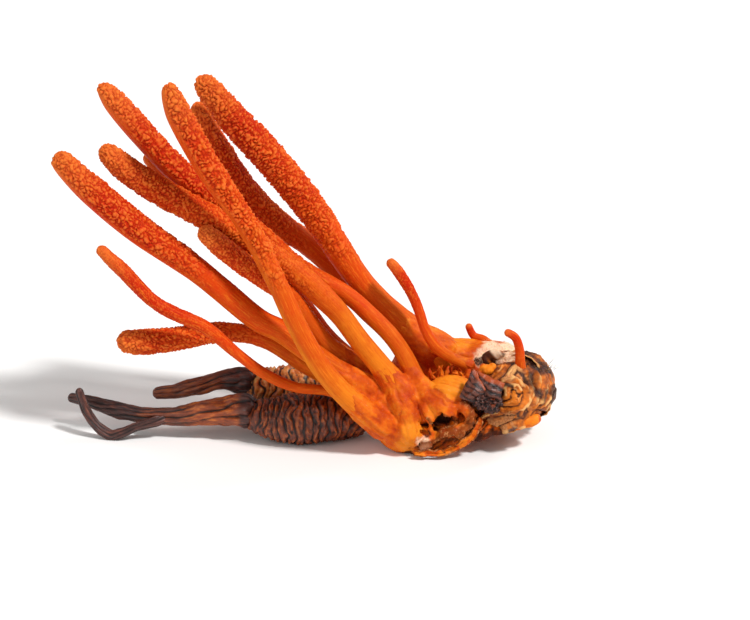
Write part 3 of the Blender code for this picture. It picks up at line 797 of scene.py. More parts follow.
def mat_material(look):
    """Mycelium and rind: matted fibres, part waxy and part felted, orange where fresh, with dark holes,
    yellow swellings and a white bloom of loose threads. Light and shade are painted on: lit amber on the
    fibres' crests, shaded rust in their grooves and creases, bark brown in its folds and holes, and deep red
    in the hollow between the clubs' feet."""
    made, tree, shader, place = new_material("mycelium_rind")
    fibre, height, rim, yellow, red, pale, dark = (
        add(tree, ATTRIBUTE, out="Fac", attribute_name=name)
        for name in ("fibre", "relief", "rim", "yellow", "red", "pale", "dark")
    )
    blotch = add(tree, NOISE, {"Vector": place, "Scale": 1 / 5.0, "Detail": 3.0, "Roughness": 0.6})
    speck = add(tree, NOISE, {"Vector": place, "Scale": 1 / 0.5, "Detail": 3.0, "Roughness": 0.7})
    twist = add(tree, NOISE, {"Vector": place, "Scale": 1 / 1.3, "Detail": 3.0, "Roughness": 0.7})
    body = add(tree, "ShaderNodeValToRGB", {0: blotch}, stops=[
        (0.34, look.rust), (0.50, look.orange), (0.66, look.amber),
    ])
    body = painted(
        tree, body,
        # red marks: painted deep red shade in the hollow between the clubs' feet; on the chips, their own red
        (red, 0.0, 1.0, 0.55, look.red),
        (yellow, 0.0, 1.0, 0.80, look.yellow),
        # painted light and shade on the fibres: crests lit amber, grooves and creases shaded rust
        (fibre, 0.52, 0.86, 0.60, look.amber),
        (fibre, 0.46, 0.14, 0.75, look.rust),
        (speck, 0.60, 0.72, 0.14, look.bloom),
        (speck, 0.26, 0.46, 0.92, look.bloom, pale),
        (rim, 0.25, 0.70, 0.80, look.umber),
        (twist, 0.50, 0.62, 0.80, look.tan, rim),
        # painted shade in the folds' grooves, grading through ochre into bark brown
        (height, 0.62, 0.10, 0.94, look.bark),
        (height, 1.0, 0.78, 0.35, look.ochre),
        # dark marks: painted shade in the holes, pits and hollows
        (dark, 0.0, 1.0, 0.95, look.bark),
    )
    fine = add(tree, NOISE, {"Vector": place, "Scale": 1 / 0.22, "Detail": 4.0, "Roughness": 0.65})
    matt = add(tree, RANGE, {0: fine, 1: 0.3, 2: 0.7, 3: 0.36, 4: 0.62}, **SMOOTH)
    bumps = add(tree, MATH, {0: fibre, 1: 0.5, 2: fine}, operation="MULTIPLY_ADD")
    bump = add(tree, "ShaderNodeBump", {"Height": bumps, "Distance": 0.16 * MM, "Strength": 0.6})
    link_finish(tree, shader, body, matt, bump)
    translucent(shader, 0.14, 0.6)
    settle(shader, {
        "IOR": 1.42,
        "Specular IOR Level": 0.14,
    })
    return made


def crust_material(look):
    """Dried layered rind: papery, cracked and here and there varnished. Its lips are light tan, partly their
    own dry colour and partly a painted highlight. Painted shade turns its recesses, its grooves, its pits and
    the streaks under its layers' edges dark brown to black, and burnt patches lie across it."""
    made, tree, shader, place = new_material("dried_rind_crust")
    lip, height, strata, yellow, pale, dark, bloom = (
        add(tree, ATTRIBUTE, out="Fac", attribute_name=name)
        for name in ("lip", "relief", "strata", "yellow", "pale", "dark", "bloom")
    )
    blotch = add(tree, NOISE, {"Vector": place, "Scale": 1 / 3.6, "Detail": 4.0, "Roughness": 0.62})
    speck = add(tree, NOISE, {"Vector": place, "Scale": 1 / 0.6, "Detail": 3.0, "Roughness": 0.7})
    grime = add(tree, NOISE, {"Vector": place, "Scale": 1 / 1.2, "Detail": 4.0, "Roughness": 0.7})
    crack = add(
        tree, "ShaderNodeTexVoronoi", {"Vector": place, "Scale": 1 / 1.2}, out=0, feature="DISTANCE_TO_EDGE"
    )
    body = add(tree, "ShaderNodeValToRGB", {0: blotch}, stops=[
        (0.32, look.umber), (0.46, look.ochre), (0.66, look.amber), (0.88, look.straw),
    ])
    body = painted(
        tree, body,
        (yellow, 0.0, 1.0, 0.65, look.amber),
        (pale, 0.0, 1.0, 0.80, look.tan),
        (crack, 0.12, 0.0, 0.5, look.umber, pale),
        (speck, 0.58, 0.70, 0.85, look.bark, pale),
        (strata, 0.56, 0.80, 0.55, look.straw),
        (strata, 0.44, 0.20, 0.65, look.umber),
        # lips: a painted highlight on their crests over their own dry pale colour, painted shade in the drop
        # behind
        (lip, 0.72, 0.98, 0.85, look.straw),
        (lip, 0.40, 0.10, 0.92, look.bark),
        # painted shade in the wrinkle grooves
        (height, 0.34, 0.06, 0.7, look.bark),
        (grime, 0.58, 0.74, 0.50, look.umber),
        # dark marks: dark patches, with painted shade in the pits and under the layers' edges
        (dark, 0.05, 0.55, 0.88, look.bark),
        (dark, 0.55, 1.0, 0.75, look.char),
        (speck, 0.58, 0.66, 0.50, look.tan, dark),
        (bloom, 0.0, 1.0, 0.90, look.bloom),
    )
    fine = add(tree, NOISE, {"Vector": place, "Scale": 1 / 0.25, "Detail": 4.0, "Roughness": 0.7})
    matt = add(tree, RANGE, {0: fine, 1: 0.3, 2: 0.7, 3: 0.40, 4: 0.70}, **SMOOTH)
    matt = add(tree, MATH, {0: dark, 1: -0.12, 2: matt}, operation="MULTIPLY_ADD")
    bumps = add(tree, MATH, {0: fine, 1: grime}, operation="ADD")
    bump = add(tree, "ShaderNodeBump", {"Height": bumps, "Distance": 0.2 * MM, "Strength": 0.7})
    link_finish(tree, shader, body, matt, bump)
    translucent(shader, 0.06, 0.5)
    settle(shader, {
        "IOR": 1.45,
        "Specular IOR Level": 0.25,
    })
    return made


def husk_material(look):
    """Dried husk, like burnt bark: nearly black brown with a purple cast, and slightly glossy. It is lighter
    along its ribs and edges, partly worn and partly a painted highlight, and painted shade darkens its rib
    grooves."""
    made, tree, shader, place = new_material("charred_husk")
    rib, yellow = (add(tree, ATTRIBUTE, out="Fac", attribute_name=name) for name in ("relief", "yellow"))
    streak = add(tree, NOISE, {"Vector": place, "Scale": 1 / 0.8, "Detail": 4.0, "Roughness": 0.65})
    body = add(tree, "ShaderNodeValToRGB", {0: streak}, stops=[
        (0.38, look.char), (0.54, look.plum), (0.80, look.dust_and_highlight),
    ])
    body = painted(
        tree, body,
        # painted highlight on the rib crests over their worn colour, painted shade in the grooves
        (rib, 0.66, 0.98, 0.60, look.dust_and_highlight),
        (rib, 0.46, 0.08, 0.90, look.char),
        (yellow, 0.0, 1.0, 0.90, look.rust),
    )
    fine = add(tree, NOISE, {"Vector": place, "Scale": 1 / 0.2, "Detail": 3.0, "Roughness": 0.6})
    matt = add(tree, RANGE, {0: fine, 1: 0.3, 2: 0.7, 3: 0.18, 4: 0.40}, **SMOOTH)
    bumps = add(tree, MATH, {0: fine, 1: streak}, operation="ADD")
    bump = add(tree, "ShaderNodeBump", {"Height": bumps, "Distance": 0.15 * MM, "Strength": 0.6})
    link_finish(tree, shader, body, matt, bump)
    settle(shader, {
        "IOR": 1.5,
        "Specular IOR Level": 0.45,
    })
    return made


def larva_material(look):
    """Dried larva skin: leathery and horny, golden brown on the ribs, partly its own hide and partly a
    painted highlight, and almost black between them with painted shade.
    """
    made, tree, shader, _ = new_material("dried_larva_skin")
    straight = add(tree, ATTRIBUTE, out="Vector", attribute_name="straight")
    rib, tone = (add(tree, ATTRIBUTE, out="Fac", attribute_name=name) for name in ("relief", "tone"))
    mottle = add(tree, NOISE, {"Vector": straight, "Scale": 1 / 2.2, "Detail": 4.0, "Roughness": 0.65})
    mottle = add(tree, MATH, {0: tone, 1: 0.25, 2: mottle}, operation="MULTIPLY_ADD")
    body = add(tree, "ShaderNodeValToRGB", {0: mottle}, stops=[
        (0.30, look.umber), (0.48, look.hide), (0.62, look.gold), (0.82, look.straw),
    ])
    body = painted(
        tree, body,
        # painted highlight on the rib crests over the golden hide, painted shade in the grooves
        (rib, 0.70, 1.0, 0.45, look.gold),
        (rib, 0.58, 0.14, 0.96, look.char),
    )
    fine = add(tree, NOISE, {"Vector": straight, "Scale": 1 / 0.25, "Detail": 4.0, "Roughness": 0.65})
    matt = add(tree, RANGE, {0: fine, 1: 0.3, 2: 0.7, 3: 0.34, 4: 0.58}, **SMOOTH)
    bump = add(tree, "ShaderNodeBump", {"Height": fine, "Distance": 0.14 * MM, "Strength": 0.6})
    link_finish(tree, shader, body, matt, bump)
    translucent(shader, 0.06, 0.5)
    settle(shader, {"IOR": 1.5})
    return made


def stalk_material(look):
    """Dried stalk: woody, purple brown to black, with golden brown where the skin has worn off its ridges.
    Its ridge crests are lighter, partly worn and partly a painted highlight, and painted shade darkens its
    grooves.
    """
    made, tree, shader, _ = new_material("dried_stalk_wood")
    straight = add(tree, ATTRIBUTE, out="Vector", attribute_name="straight")
    ridge, warm = (add(tree, ATTRIBUTE, out="Fac", attribute_name=name) for name in ("relief", "warm"))
    stretched = add(tree, "ShaderNodeMapping", {"Vector": straight, "Scale": (1, 1, 0.18)})
    streak = add(tree, NOISE, {"Vector": stretched, "Scale": 1 / 0.8, "Detail": 4.0, "Roughness": 0.65})
    plain = add(tree, "ShaderNodeValToRGB", {0: streak}, stops=[
        (0.34, look.char), (0.52, look.plum), (0.76, look.dust_and_highlight),
    ])
    golden = add(tree, "ShaderNodeValToRGB", {0: streak}, stops=[
        (0.30, look.umber), (0.48, look.hide), (0.68, look.gold),
    ])
    body = painted(
        tree, plain,
        (warm, 0.0, 1.0, 1.0, golden),
        # painted highlight on the ridge crests over their worn colour, painted shade in the grooves
        (ridge, 0.62, 0.98, 0.35, look.dust_and_highlight),
        (ridge, 0.46, 0.08, 0.92, look.char),
    )
    fine = add(tree, NOISE, {"Vector": straight, "Scale": 1 / 0.2, "Detail": 4.0, "Roughness": 0.65})
    matt = add(tree, RANGE, {0: fine, 1: 0.3, 2: 0.7, 3: 0.34, 4: 0.56}, **SMOOTH)
    bumps = add(tree, MATH, {0: fine, 1: streak}, operation="ADD")
    bump = add(tree, "ShaderNodeBump", {"Height": bumps, "Distance": 0.14 * MM, "Strength": 0.6})
    link_finish(tree, shader, body, matt, bump)
    settle(shader, {"IOR": 1.5})
    return made


def thread_material(look):
    """Loose mycelium: dull white cotton, orange where it is stained."""
    made, tree, shader, place = new_material("mycelium_threads")
    stain = add(tree, NOISE, {"Vector": place, "Scale": 1 / 2.0})
    body = add(tree, "ShaderNodeValToRGB", {0: stain}, stops=[(0.48, look.bloom), (0.66, look.amber)])
    tree.links.new(body, shader.inputs["Base Color"])
    settle(shader, {"Roughness": 0.8})
    return made


def bristle_material(look):
    """Dry bristles: stiff and horny, straw coloured or dark brown."""
    made, tree, shader, place = new_material("dry_bristles")
    shade = add(tree, NOISE, {"Vector": place, "Scale": 1 / 1.0})
    body = add(tree, "ShaderNodeValToRGB", {0: shade}, stops=[(0.42, look.straw), (0.58, look.bark)])
    tree.links.new(body, shader.inputs["Base Color"])
    settle(shader, {"Roughness": 0.6})
    return made


def translucent(shader, weight, depth_mm):
    """Lets light into the flesh and back out, redder the further it goes."""
    settle(shader, {
        "Subsurface Weight": weight,
        "Subsurface Radius": (1.0, 0.28, 0.08),
        "Subsurface Scale": depth_mm * MM,
    })


# ------------------------------------------------------------------------------------------- settings


def colour(label, meaning, code):
    """A colour that a user can change."""
    return bpy.props.FloatVectorProperty(
        name=label, description=meaning, subtype="COLOR", size=4, min=0, max=1, default=srgb(code)
    )


class FungusSettings(bpy.types.PropertyGroup):
    """Sizes and colours of the clubs."""

    grain_scale: bpy.props.FloatProperty(
        name="Grain height", description="Share of the usual grain height",
        default=1.0, min=0, max=2, subtype="FACTOR",
    )
    ring_spacing: bpy.props.FloatProperty(
        name="Ring spacing", description="Distance between a club's rings where it is grainy",
        default=0.24 * MM, min=0.2 * MM, max=2 * MM, unit="LENGTH",
    )
    glow: bpy.props.FloatProperty(
        name="Glow", description="How much light passes through the flesh",
        default=0.07, min=0, max=1, subtype="FACTOR",
    )
    root_colour: colour("Root", "Flesh at the root of a club", "#DC7616")
    stem_colour: colour("Stem", "Flesh of the smooth stem", "#C8520C")
    club_colour: colour("Club", "Flesh of the thick part", "#CE4208")
    deep_colour: colour("Deep", "Darkest flesh", "#BE2604")
    # painted shade in the creases between the grains
    crease_shade_colour: colour("Crease", "Between the grains", "#941402")
    # pale flesh for the freckles and tips, and the painted highlight on the grains' crowns
    pale_and_highlight_colour: colour("Crown", "Tops of the grains", "#EE8636")
    fibre_colour: colour("Fibre", "Fine pale fibres", "#EE8420")


class RindSettings(bpy.types.PropertyGroup):
    """Colours of the mat and the crust."""

    rust: colour("Rust", "Shaded mycelium", "#B43E08")
    orange: colour("Orange", "Fresh mycelium", "#D2580A")
    amber: colour("Amber", "Lit mycelium", "#E07818")
    yellow: colour("Yellow", "Swollen, glowing mycelium", "#E8881C")
    # Red is also the painted deep red shade in the hollow between the clubs' feet
    red: colour("Red", "Deep orange-red membranes", "#A82202")
    bloom: colour("Bloom", "White loose threads", "#F6D4B2")
    # Bark is also painted shade: in grooves, recesses and holes, and behind the crust's lips
    bark: colour("Bark", "Recesses", "#381408")
    # Char is also the core of the painted shade in the crust's pits and under its layers' edges
    char: colour("Char", "Burnt patches", "#1C0C0A")
    umber: colour("Umber", "Dark rind", "#6A2E0E")
    ochre: colour("Ochre", "Middle rind", "#A04E14")
    # Straw is also the painted highlight along the crust's lips
    straw: colour("Straw", "Dry lips of the layers", "#E4AC68")
    tan: colour("Tan", "Papery skin", "#CC8A54")


class DriedSettings(bpy.types.PropertyGroup):
    """Colours of the husks, larvae and stalks."""

    # Char is also painted shade in the grooves between ribs and ridges
    char: colour("Char", "Deepest grooves", "#1A0C08")
    plum: colour("Plum", "Purple-brown skin", "#44201A")
    # lighter rib and ridge crests: partly worn, partly a painted highlight
    dust_and_highlight: colour("Dust", "Worn edges", "#76402E")
    rust: colour("Rust", "Orange root of a husk", "#A8440C")
    umber: colour("Umber", "Dark hide", "#5E260E")
    hide: colour("Hide", "Brown hide", "#903E10")
    # Gold is also the painted highlight on the larvae's ribs
    gold: colour("Gold", "Golden hide", "#C86C20")
    straw: colour("Straw", "Pale ribs", "#DCA860")


class StageSettings(bpy.types.PropertyGroup):
    """The camera, the lights and the floor."""

    lens: bpy.props.FloatProperty(name="Lens", description="Focal length in mm", default=100, min=20, max=300)
    distance: bpy.props.FloatProperty(
        name="Distance", description="From the camera to what it looks at",
        default=650 * MM, min=0.1, unit="LENGTH",
    )
    elevation: bpy.props.FloatProperty(
        name="Elevation", description="How far the camera looks down",
        default=math.radians(20), subtype="ANGLE",
    )
    key_power: bpy.props.FloatProperty(
        name="Key", description="Strength of the main light", default=3.0, min=0
    )
    fill_power: bpy.props.FloatProperty(
        name="Fill", description="Strength of the fill light", default=0.8, min=0
    )
    edge_power: bpy.props.FloatProperty(
        name="Edge", description="Strength of the light from behind", default=0.8, min=0
    )
    softness: bpy.props.FloatProperty(
        name="Softness", description="How wide the main light looks", default=math.radians(8), subtype="ANGLE"
    )
    sky: bpy.props.FloatProperty(
        name="Sky", description="Strength of the light all round", default=0.34, min=0
    )
    floor_colour: colour("Floor", "Plain pale floor", "#F2F1EF")


# ------------------------------------------------------------------------------------------- operators


def shared(name, build, look):
    """The material of that name, made the first time it is asked for."""
    return bpy.data.materials.get(name) or build(look)


def club_mesh(name, guide, finish, spacing_mm, scale, seed):
    """A club or sprout: its path, its grains above and its fibres below."""
    begins, full, width, height, squeeze, tone, bare = finish
    thick = max(row[3] for row in guide)
    around = int(min(120, math.pi * thick / spacing_mm))

    def spacing(share):
        return spacing_mm * (1 + 0.9 * (1 - float(ease(np.array(share), begins - 0.06, full - 0.05))))

    mesh = tube(name, guide, spacing, around)
    straight = read(mesh, "straight")
    along = read(mesh, "along", 1)
    out = normals(mesh)
    wander = 0.07 * soft_noise(straight, (3, 3, 6), seed + 50)
    fertile = ease(along + wander, begins, full)
    # the tone is partly painted light: the clubs that stand in shade are given lighter tones
    tones = np.full(len(along), float(tone))
    if bare:
        facing = out @ (np.array(bare) / np.linalg.norm(bare))
        smooth = ease(facing + 0.12 * soft_noise(straight, (2, 2, 5), seed + 51), 0.42, 0.80)
        fertile = fertile * (1 - smooth)
        tones = tones - 0.7 * smooth
    squeezed = straight * np.array((1, 1, squeeze))
    grain = grain_height(squeezed, width, seed)
    fold = rough_noise(squeezed * np.array((1, 1, 1.3)), 2.6, seed + 20, 2)
    wave = soft_noise(straight, (6, 6, 14), seed + 30)
    fibre = rough_noise(straight, (0.55, 0.55, 7), seed + 40, 2)
    skin = fertile * ((grain - 0.45) * height * 1.45 * scale + fold * height * 0.45)
    skin = skin + wave * thick * 0.022 + (1 - fertile) * fibre * 0.045 * min(1, thick / 5)
    raise_skin(mesh, skin)
    store(mesh, "grain", grain)
    store(mesh, "fertile", fertile * min(1, height / 0.3))
    store(mesh, "tone", tones + 0.25 * wave)
    return mesh


class BUNCH_OT_clubs(bpy.types.Operator):
    """Builds the nine thick fruiting clubs"""

    bl_idname = "bunch.clubs"
    bl_label = "Thick clubs"

    def execute(self, context):
        look = context.scene.bunch_fungus
        flesh = shared("fungus_stroma", stroma_material, look)
        for seed, (name, guide) in enumerate(CLUBS.items()):
            spacing = look.ring_spacing / MM
            finish = CLUB_LOOKS[name]
            mesh = club_mesh(name + "_skin", guide, finish, spacing, look.grain_scale, 100 + 60 * seed)
            finish_piece(name + "_skin", mesh, flesh, "club", name)
        return {"FINISHED"}


class BUNCH_OT_thin_clubs(bpy.types.Operator):
    """Builds the two thin, bent clubs and the two young sprouts"""

    bl_idname = "bunch.thin_clubs"
    bl_label = "Thin clubs and sprouts"

    def execute(self, context):
        look = context.scene.bunch_fungus
        flesh = shared("fungus_stroma", stroma_material, look)
        for seed, (name, guide) in enumerate(THIN_CLUBS.items()):
            finish = CLUB_LOOKS[name]
            mesh = club_mesh(name + "_skin", guide, finish, THIN_SPACING, look.grain_scale, 900 + 60 * seed)
            finish_piece(name + "_skin", mesh, flesh, "club", name)
        return {"FINISHED"}


def root_flare(guide):
    """The foot of a club: a trumpet, wide where it leaves the mat and thinner than the club where it ends."""
    fine, gone = smooth_curve(guide)
    reach = min(gone[-1] * 0.5, 11 + guide[0][3] * 1.5)
    rows = []
    for share in (0, 0.25, 0.5, 0.75, 1):
        row = [float(np.interp(share * reach, gone, fine[:, k])) for k in range(4)]
        row[3] *= 1.5 - 0.62 * share
        rows.append(row)
    return rows


def flow_fibres(points, seed):
    """Fibres that run along the nearest clubs' feet and fade into one another, from -1 to 1."""
    total = np.zeros(len(points))
    weights = np.full(len(points), 1e-6)
    guides = [*CLUBS.values(), THIN_CLUBS["club_hook"], *MAT_CORDS]
    for i, guide in enumerate(guides):
        fine, gone = smooth_curve(guide)
        tangents, sides, crosses = frames(fine)
        picked = np.arange(0, min(len(fine), 320), 8)
        offset = points[:, None, :] - fine[picked, :3][None, :, :]
        nearest = (offset**2).sum(axis=2).argmin(axis=1)
        away = offset[np.arange(len(points)), nearest]
        at = picked[nearest]
        local = np.stack([
            (away * sides[at]).sum(axis=1), (away * crosses[at]).sum(axis=1),
            gone[at] + (away * tangents[at]).sum(axis=1),
        ], axis=1)
        weight = np.exp(-np.linalg.norm(away, axis=1) / 2.6)
        total += weight * rough_noise(local, (0.8, 0.8, 8), seed + 10 * i, 3)
        weights += weight
    return total / weights


class BUNCH_OT_mat(bpy.types.Operator):
    """Builds the mycelium mat with the clubs' feet, its rolled edge and its holes"""

    bl_idname = "bunch.mat"
    bl_label = "Mycelium mat"

    def execute(self, context):
        look = context.scene.bunch_rind
        rooted = (*CLUBS.values(), THIN_CLUBS["club_hook"], THIN_CLUBS["club_curly"])
        feet = [root_flare(guide) for guide in rooted]
        mesh = fused("root_mat_skin", ROOT_MAT, feet + MAT_CORDS, 0.38, 4)
        points = table_points(mesh)
        fibre = flow_fibres(points, 300)
        lump = rough_noise(points, 5.5, 31, 3)
        knots = soft_noise(points, 0.9, 33)
        pit = marks(points, MAT_HOLES, 43)
        moved = warped(warped(points, 3, 0.7, 41), 1.0, 0.25, 44)
        rims = [beside(moved, guide) for guide in MAT_RIMS]
        rim = np.max([np.exp(-((far / wide) ** 2)) for far, wide in zip(rims, (1.25, 0.7))], axis=0)
        foot = ease(beside(moved, MAT_FOOT), 4.6, 2.6) * ease(points[:, 1], -8, -11)
        # the creases are pressed in and lower the fibre value, so that they are painted with shade
        crease = np.min([beside(moved, guide) for guide in MAT_CREASES], axis=0)
        crease = np.exp(-((crease / 0.55) ** 2)) * ease(soft_noise(points, 3, 46), -0.5, 0.1)
        fold = 1 - np.abs(np.sin(rims[0] * math.pi / 2.1 + 1.3 * soft_noise(points, 3, 47)))
        fold = np.clip(fold + 0.35 * soft_noise(points, 0.8, 49), 0, 1)
        skin = lump * 0.35 + fibre * 0.52 + rim * (1.1 + 0.35 * knots) + foot * (fold - 0.6) * 1.3
        raise_skin(mesh, skin - pit * 2.2 - crease * 0.6 - dented(points, MAT_DENTS))
        keep_above(mesh, 0)
        for kind, spots in MAT_MARKS.items():
            store(mesh, kind, marks(points, spots, 50, MARK_EDGES[kind]))
        # the fibre value carries painted light on the fibres' crests and painted shade in their grooves and
        # creases
        store(mesh, "fibre", fibre * 0.5 + 0.5 - crease * 0.6)
        store(mesh, "rim", rim)
        # low in the foot's fold grooves, where the material paints shade
        store(mesh, "relief", 1 - foot * (1 - fold))
        rind = shared("mycelium_rind", mat_material, look)
        finish_piece("root_mat_skin", mesh, rind, "mat", "root_mat")
        return {"FINISHED"}


class BUNCH_OT_crust(bpy.types.Operator):
    """Builds the layered crust at the root end"""

    bl_idname = "bunch.crust"
    bl_label = "Layered crust"

    def execute(self, context):
        look = context.scene.bunch_rind
        mesh = tube("substrate_crust_skin", CRUST, lambda share: 0.3, 250, start_cap=1.6, tip_cap=5)
        points = table_points(mesh)
        bent = warped(warped(points, 7, 2.2, 61), 2.4, 0.8, 64)
        base = read(mesh, "along", 1) * smooth_curve(CRUST)[1][-1]
        depth = base + (bent - points).sum(axis=1) * 0.55
        phase = depth / LAYER
        saw = phase - np.floor(phase)
        lip = np.where(saw < 0.72, (saw / 0.72) ** 1.4, 1 - ((saw - 0.72) / 0.28) ** 0.8)
        lump = rough_noise(points, 6, 71, 2)
        moved = warped(warped(points, 3.4, 0.6, 66), 1.1, 0.2, 69)
        far = [beside(moved, guide) for _, guide in CRUST_RIMS]
        nearest = np.min(far, axis=0)
        rim = np.exp(-((nearest / (0.55 + 0.25 * soft_noise(points, 2.2, 74))) ** 2))
        raised = [row[0] * np.exp(-((away / 0.85) ** 2)) for row, away in zip(CRUST_RIMS, far)]
        raised = np.max(raised, axis=0)
        lines = np.sin((nearest / 1.3 + 0.9 * rough_noise(points, 3.4, 73, 2)) * 2 * math.pi)
        close = ease(nearest, 5.5, 3.5)
        lip = lip * (1 - close) + close * np.clip(0.52 + 0.15 * lines + 0.5 * rim, 0, 1)
        # the gap beside each rim also lowers the lip value: painted shade in that groove
        gap = np.exp(-(((nearest - 1.5) / 0.4) ** 2)) * close
        lip = lip * (1 - 0.85 * gap)
        wrinkle = 1 - np.abs(rough_noise(bent, 2.6, 75, 2)) * 2.2
        across = depth * (1 - close) + nearest * close
        layered = np.stack([across, points[:, 0], points[:, 1] + points[:, 2]], axis=1)
        strata = rough_noise(layered, (0.8, 6, 6), 77, 2)
        skin = lump * 0.8 + (1 - close) * (lip - 0.5) * 1.5
        skin = skin + close * (lines * 0.16 - gap * 0.5) + raised * 1.5
        raise_skin(mesh, skin + wrinkle * 0.14 + strata * 0.22 - 1.1 - dented(points, CRUST_DENTS))
        keep_above(mesh, CRUST_CLEAR)
        for kind, spots in CRUST_MARKS.items():
            store(mesh, kind, marks(points, spots, 70, MARK_EDGES[kind]))
        ragged = 1 + 0.5 * rough_noise(points, 1.6, 76, 2)
        # painted shade under the layers' edges, kept with the dark marks
        ledge_shades = [np.exp(-((beside(moved, guide) / (wide * ragged)) ** 2)) for wide, guide in CRUST_LEDGE_SHADES]
        store(mesh, "dark", np.maximum(read(mesh, "dark", 1), np.max(ledge_shades, axis=0)))
        store(mesh, "lip", lip)
        store(mesh, "strata", 0.5 + 0.5 * strata)
        # low in the wrinkle grooves, where the material paints shade
        store(mesh, "relief", np.clip(0.5 + wrinkle * 0.5, 0, 1))
        rind = shared("dried_rind_crust", crust_material, look)
        finish_piece("substrate_crust_skin", mesh, rind, "crust", "substrate_crust")
        return {"FINISHED"}


def husk_mesh(name, corners, ribs, seed):
    """A thin ribbed flap on four corners, cupped and a little curled, with a real thickness."""
    mesh = grid(name, 90, 70)
    corner = read(mesh)
    a, b, c, d = (np.array(p, float) for p in corners)
    u = corner[:, 0:1]
    v = corner[:, 1:2]
    points = a * (1 - u) * (1 - v) + b * u * (1 - v) + c * u * v + d * (1 - u) * v
    inside = np.clip(1 - np.abs(u * 2 - 1), 0, 1) * np.clip(1 - np.abs(v * 2 - 1), 0, 1)
    across = points[:, 2] * 0.9 + points[:, 0] * 0.45 + 0.5 * soft_noise(points, 2.5, seed)
    rib = 1 - np.abs(np.sin(across * math.pi / ribs))
    rib = np.clip(rib + 0.35 * rough_noise(points, 0.9, seed + 3, 2), 0, 1)
    points[:, 1] -= 1.9 * inside[:, 0] ** 0.6 + 0.45 * (1 - rib) * (0.35 + inside[:, 0])
    move(mesh, to_frame(warped(points, 1.6, 0.25, seed + 5)))
    # raised ribs high, grooves low: the material paints their light and shade
    store(mesh, "relief", 1 - rib)
    store(mesh, "along", corner[:, 0])
    walled(mesh, HUSK_THICK)
    return mesh


def flake_mesh(path, deep, first, last, rise, reach, seed):
    """A thin ragged layer that leaves the crust behind its lip and stands off it in front."""
    arc = math.radians(last - first) * float(thickness_at(path, deep))
    mesh = grid("flake", max(24, int(arc / 0.3)), 9)
    corner = read(mesh)
    turn = np.radians(first + (last - first) * corner[:, 0])
    run = np.stack([arc * corner[:, 0], np.full(len(turn), deep), np.zeros(len(turn))], axis=1)
    ends = np.sin(np.clip(corner[:, 0], 0, 1) * math.pi) ** 0.45
    ragged = 1 + 0.35 * soft_noise(run, 3.2, seed) + 0.15 * soft_noise(run, 1.1, seed + 1)
    wave = soft_noise(run, 6, seed + 2) * 1.4
    lift = corner[:, 1] ** 0.8
    depth = deep + wave + reach * (1 - corner[:, 1]) - 0.7 * corner[:, 1] * ragged
    radius = thickness_at(path, depth) - 1.9 + (rise + 1.3) * lift * ends * np.clip(ragged, 0.3, 1.3)
    points = around_path(path, depth, turn, radius)
    points = warped(points, 0.9, 0.16, seed + 4)
    points[:, 2] = np.maximum(points[:, 2], 0.5)
    move(mesh, to_frame(points))
    # the flake's free edge gets the lips' painted highlight, its root against the crust painted shade
    store(mesh, "lip", 0.25 + 0.75 * corner[:, 1] ** 2.2)
    walled(mesh, FLAKE_THICK)
    return mesh


class BUNCH_OT_flakes(bpy.types.Operator):
    """Builds the thin layers that stand off the crust"""

    bl_idname = "bunch.flakes"
    bl_label = "Crust flakes"

    def execute(self, context):
        path = measured(CRUST)
        sheets = [flake_mesh(path, *row, 1200 + 20 * i) for i, row in enumerate(FLAKES)]
        mesh = join("crust_flakes", sheets)
        points = table_points(mesh)
        for kind, spots in CRUST_MARKS.items():
            store(mesh, kind, marks(points, spots, 70, MARK_EDGES[kind]))
        store(mesh, "relief", np.clip(0.6 + 0.5 * rough_noise(points, 1.3, 1500, 2), 0, 1))
        store(mesh, "strata", 0.5 + 0.5 * soft_noise(points, 0.8, 1510))
        rind = shared("dried_rind_crust", crust_material, context.scene.bunch_rind)
        finish_piece("crust_flakes", mesh, rind, "crust")
        return {"FINISHED"}


def chip_mesh(spot, length, width, yaw, lean, curl, seed):
    """A curled sliver of membrane that stands on a spot."""
    mesh = grid("chip", 14, 6)
    corner = read(mesh)
    bend = curl * corner[:, 0]
    rise = np.sin(bend) / max(curl, 0.01) * length
    drop = (1 - np.cos(bend)) / max(curl, 0.01) * length
    taper = (1 - corner[:, 0] ** 2.2) * (1 + 0.5 * soft_noise(corner * 3, 1, seed))
    local = np.stack([drop, (corner[:, 1] - 0.5) * width * (0.25 + taper), rise], axis=1)
    local[:, 0] += 0.5 * width * (corner[:, 1] * 2 - 1) ** 2 * 0.6
    turn = Matrix.Rotation(math.radians(yaw), 3, "Z") @ Matrix.Rotation(math.radians(lean), 3, "Y")
    points = local @ np.array(turn).T + np.array(spot)
    move(mesh, to_frame(warped(points, 0.8, 0.12, seed + 1)))
    walled(mesh, CHIP_THICK)
    return mesh


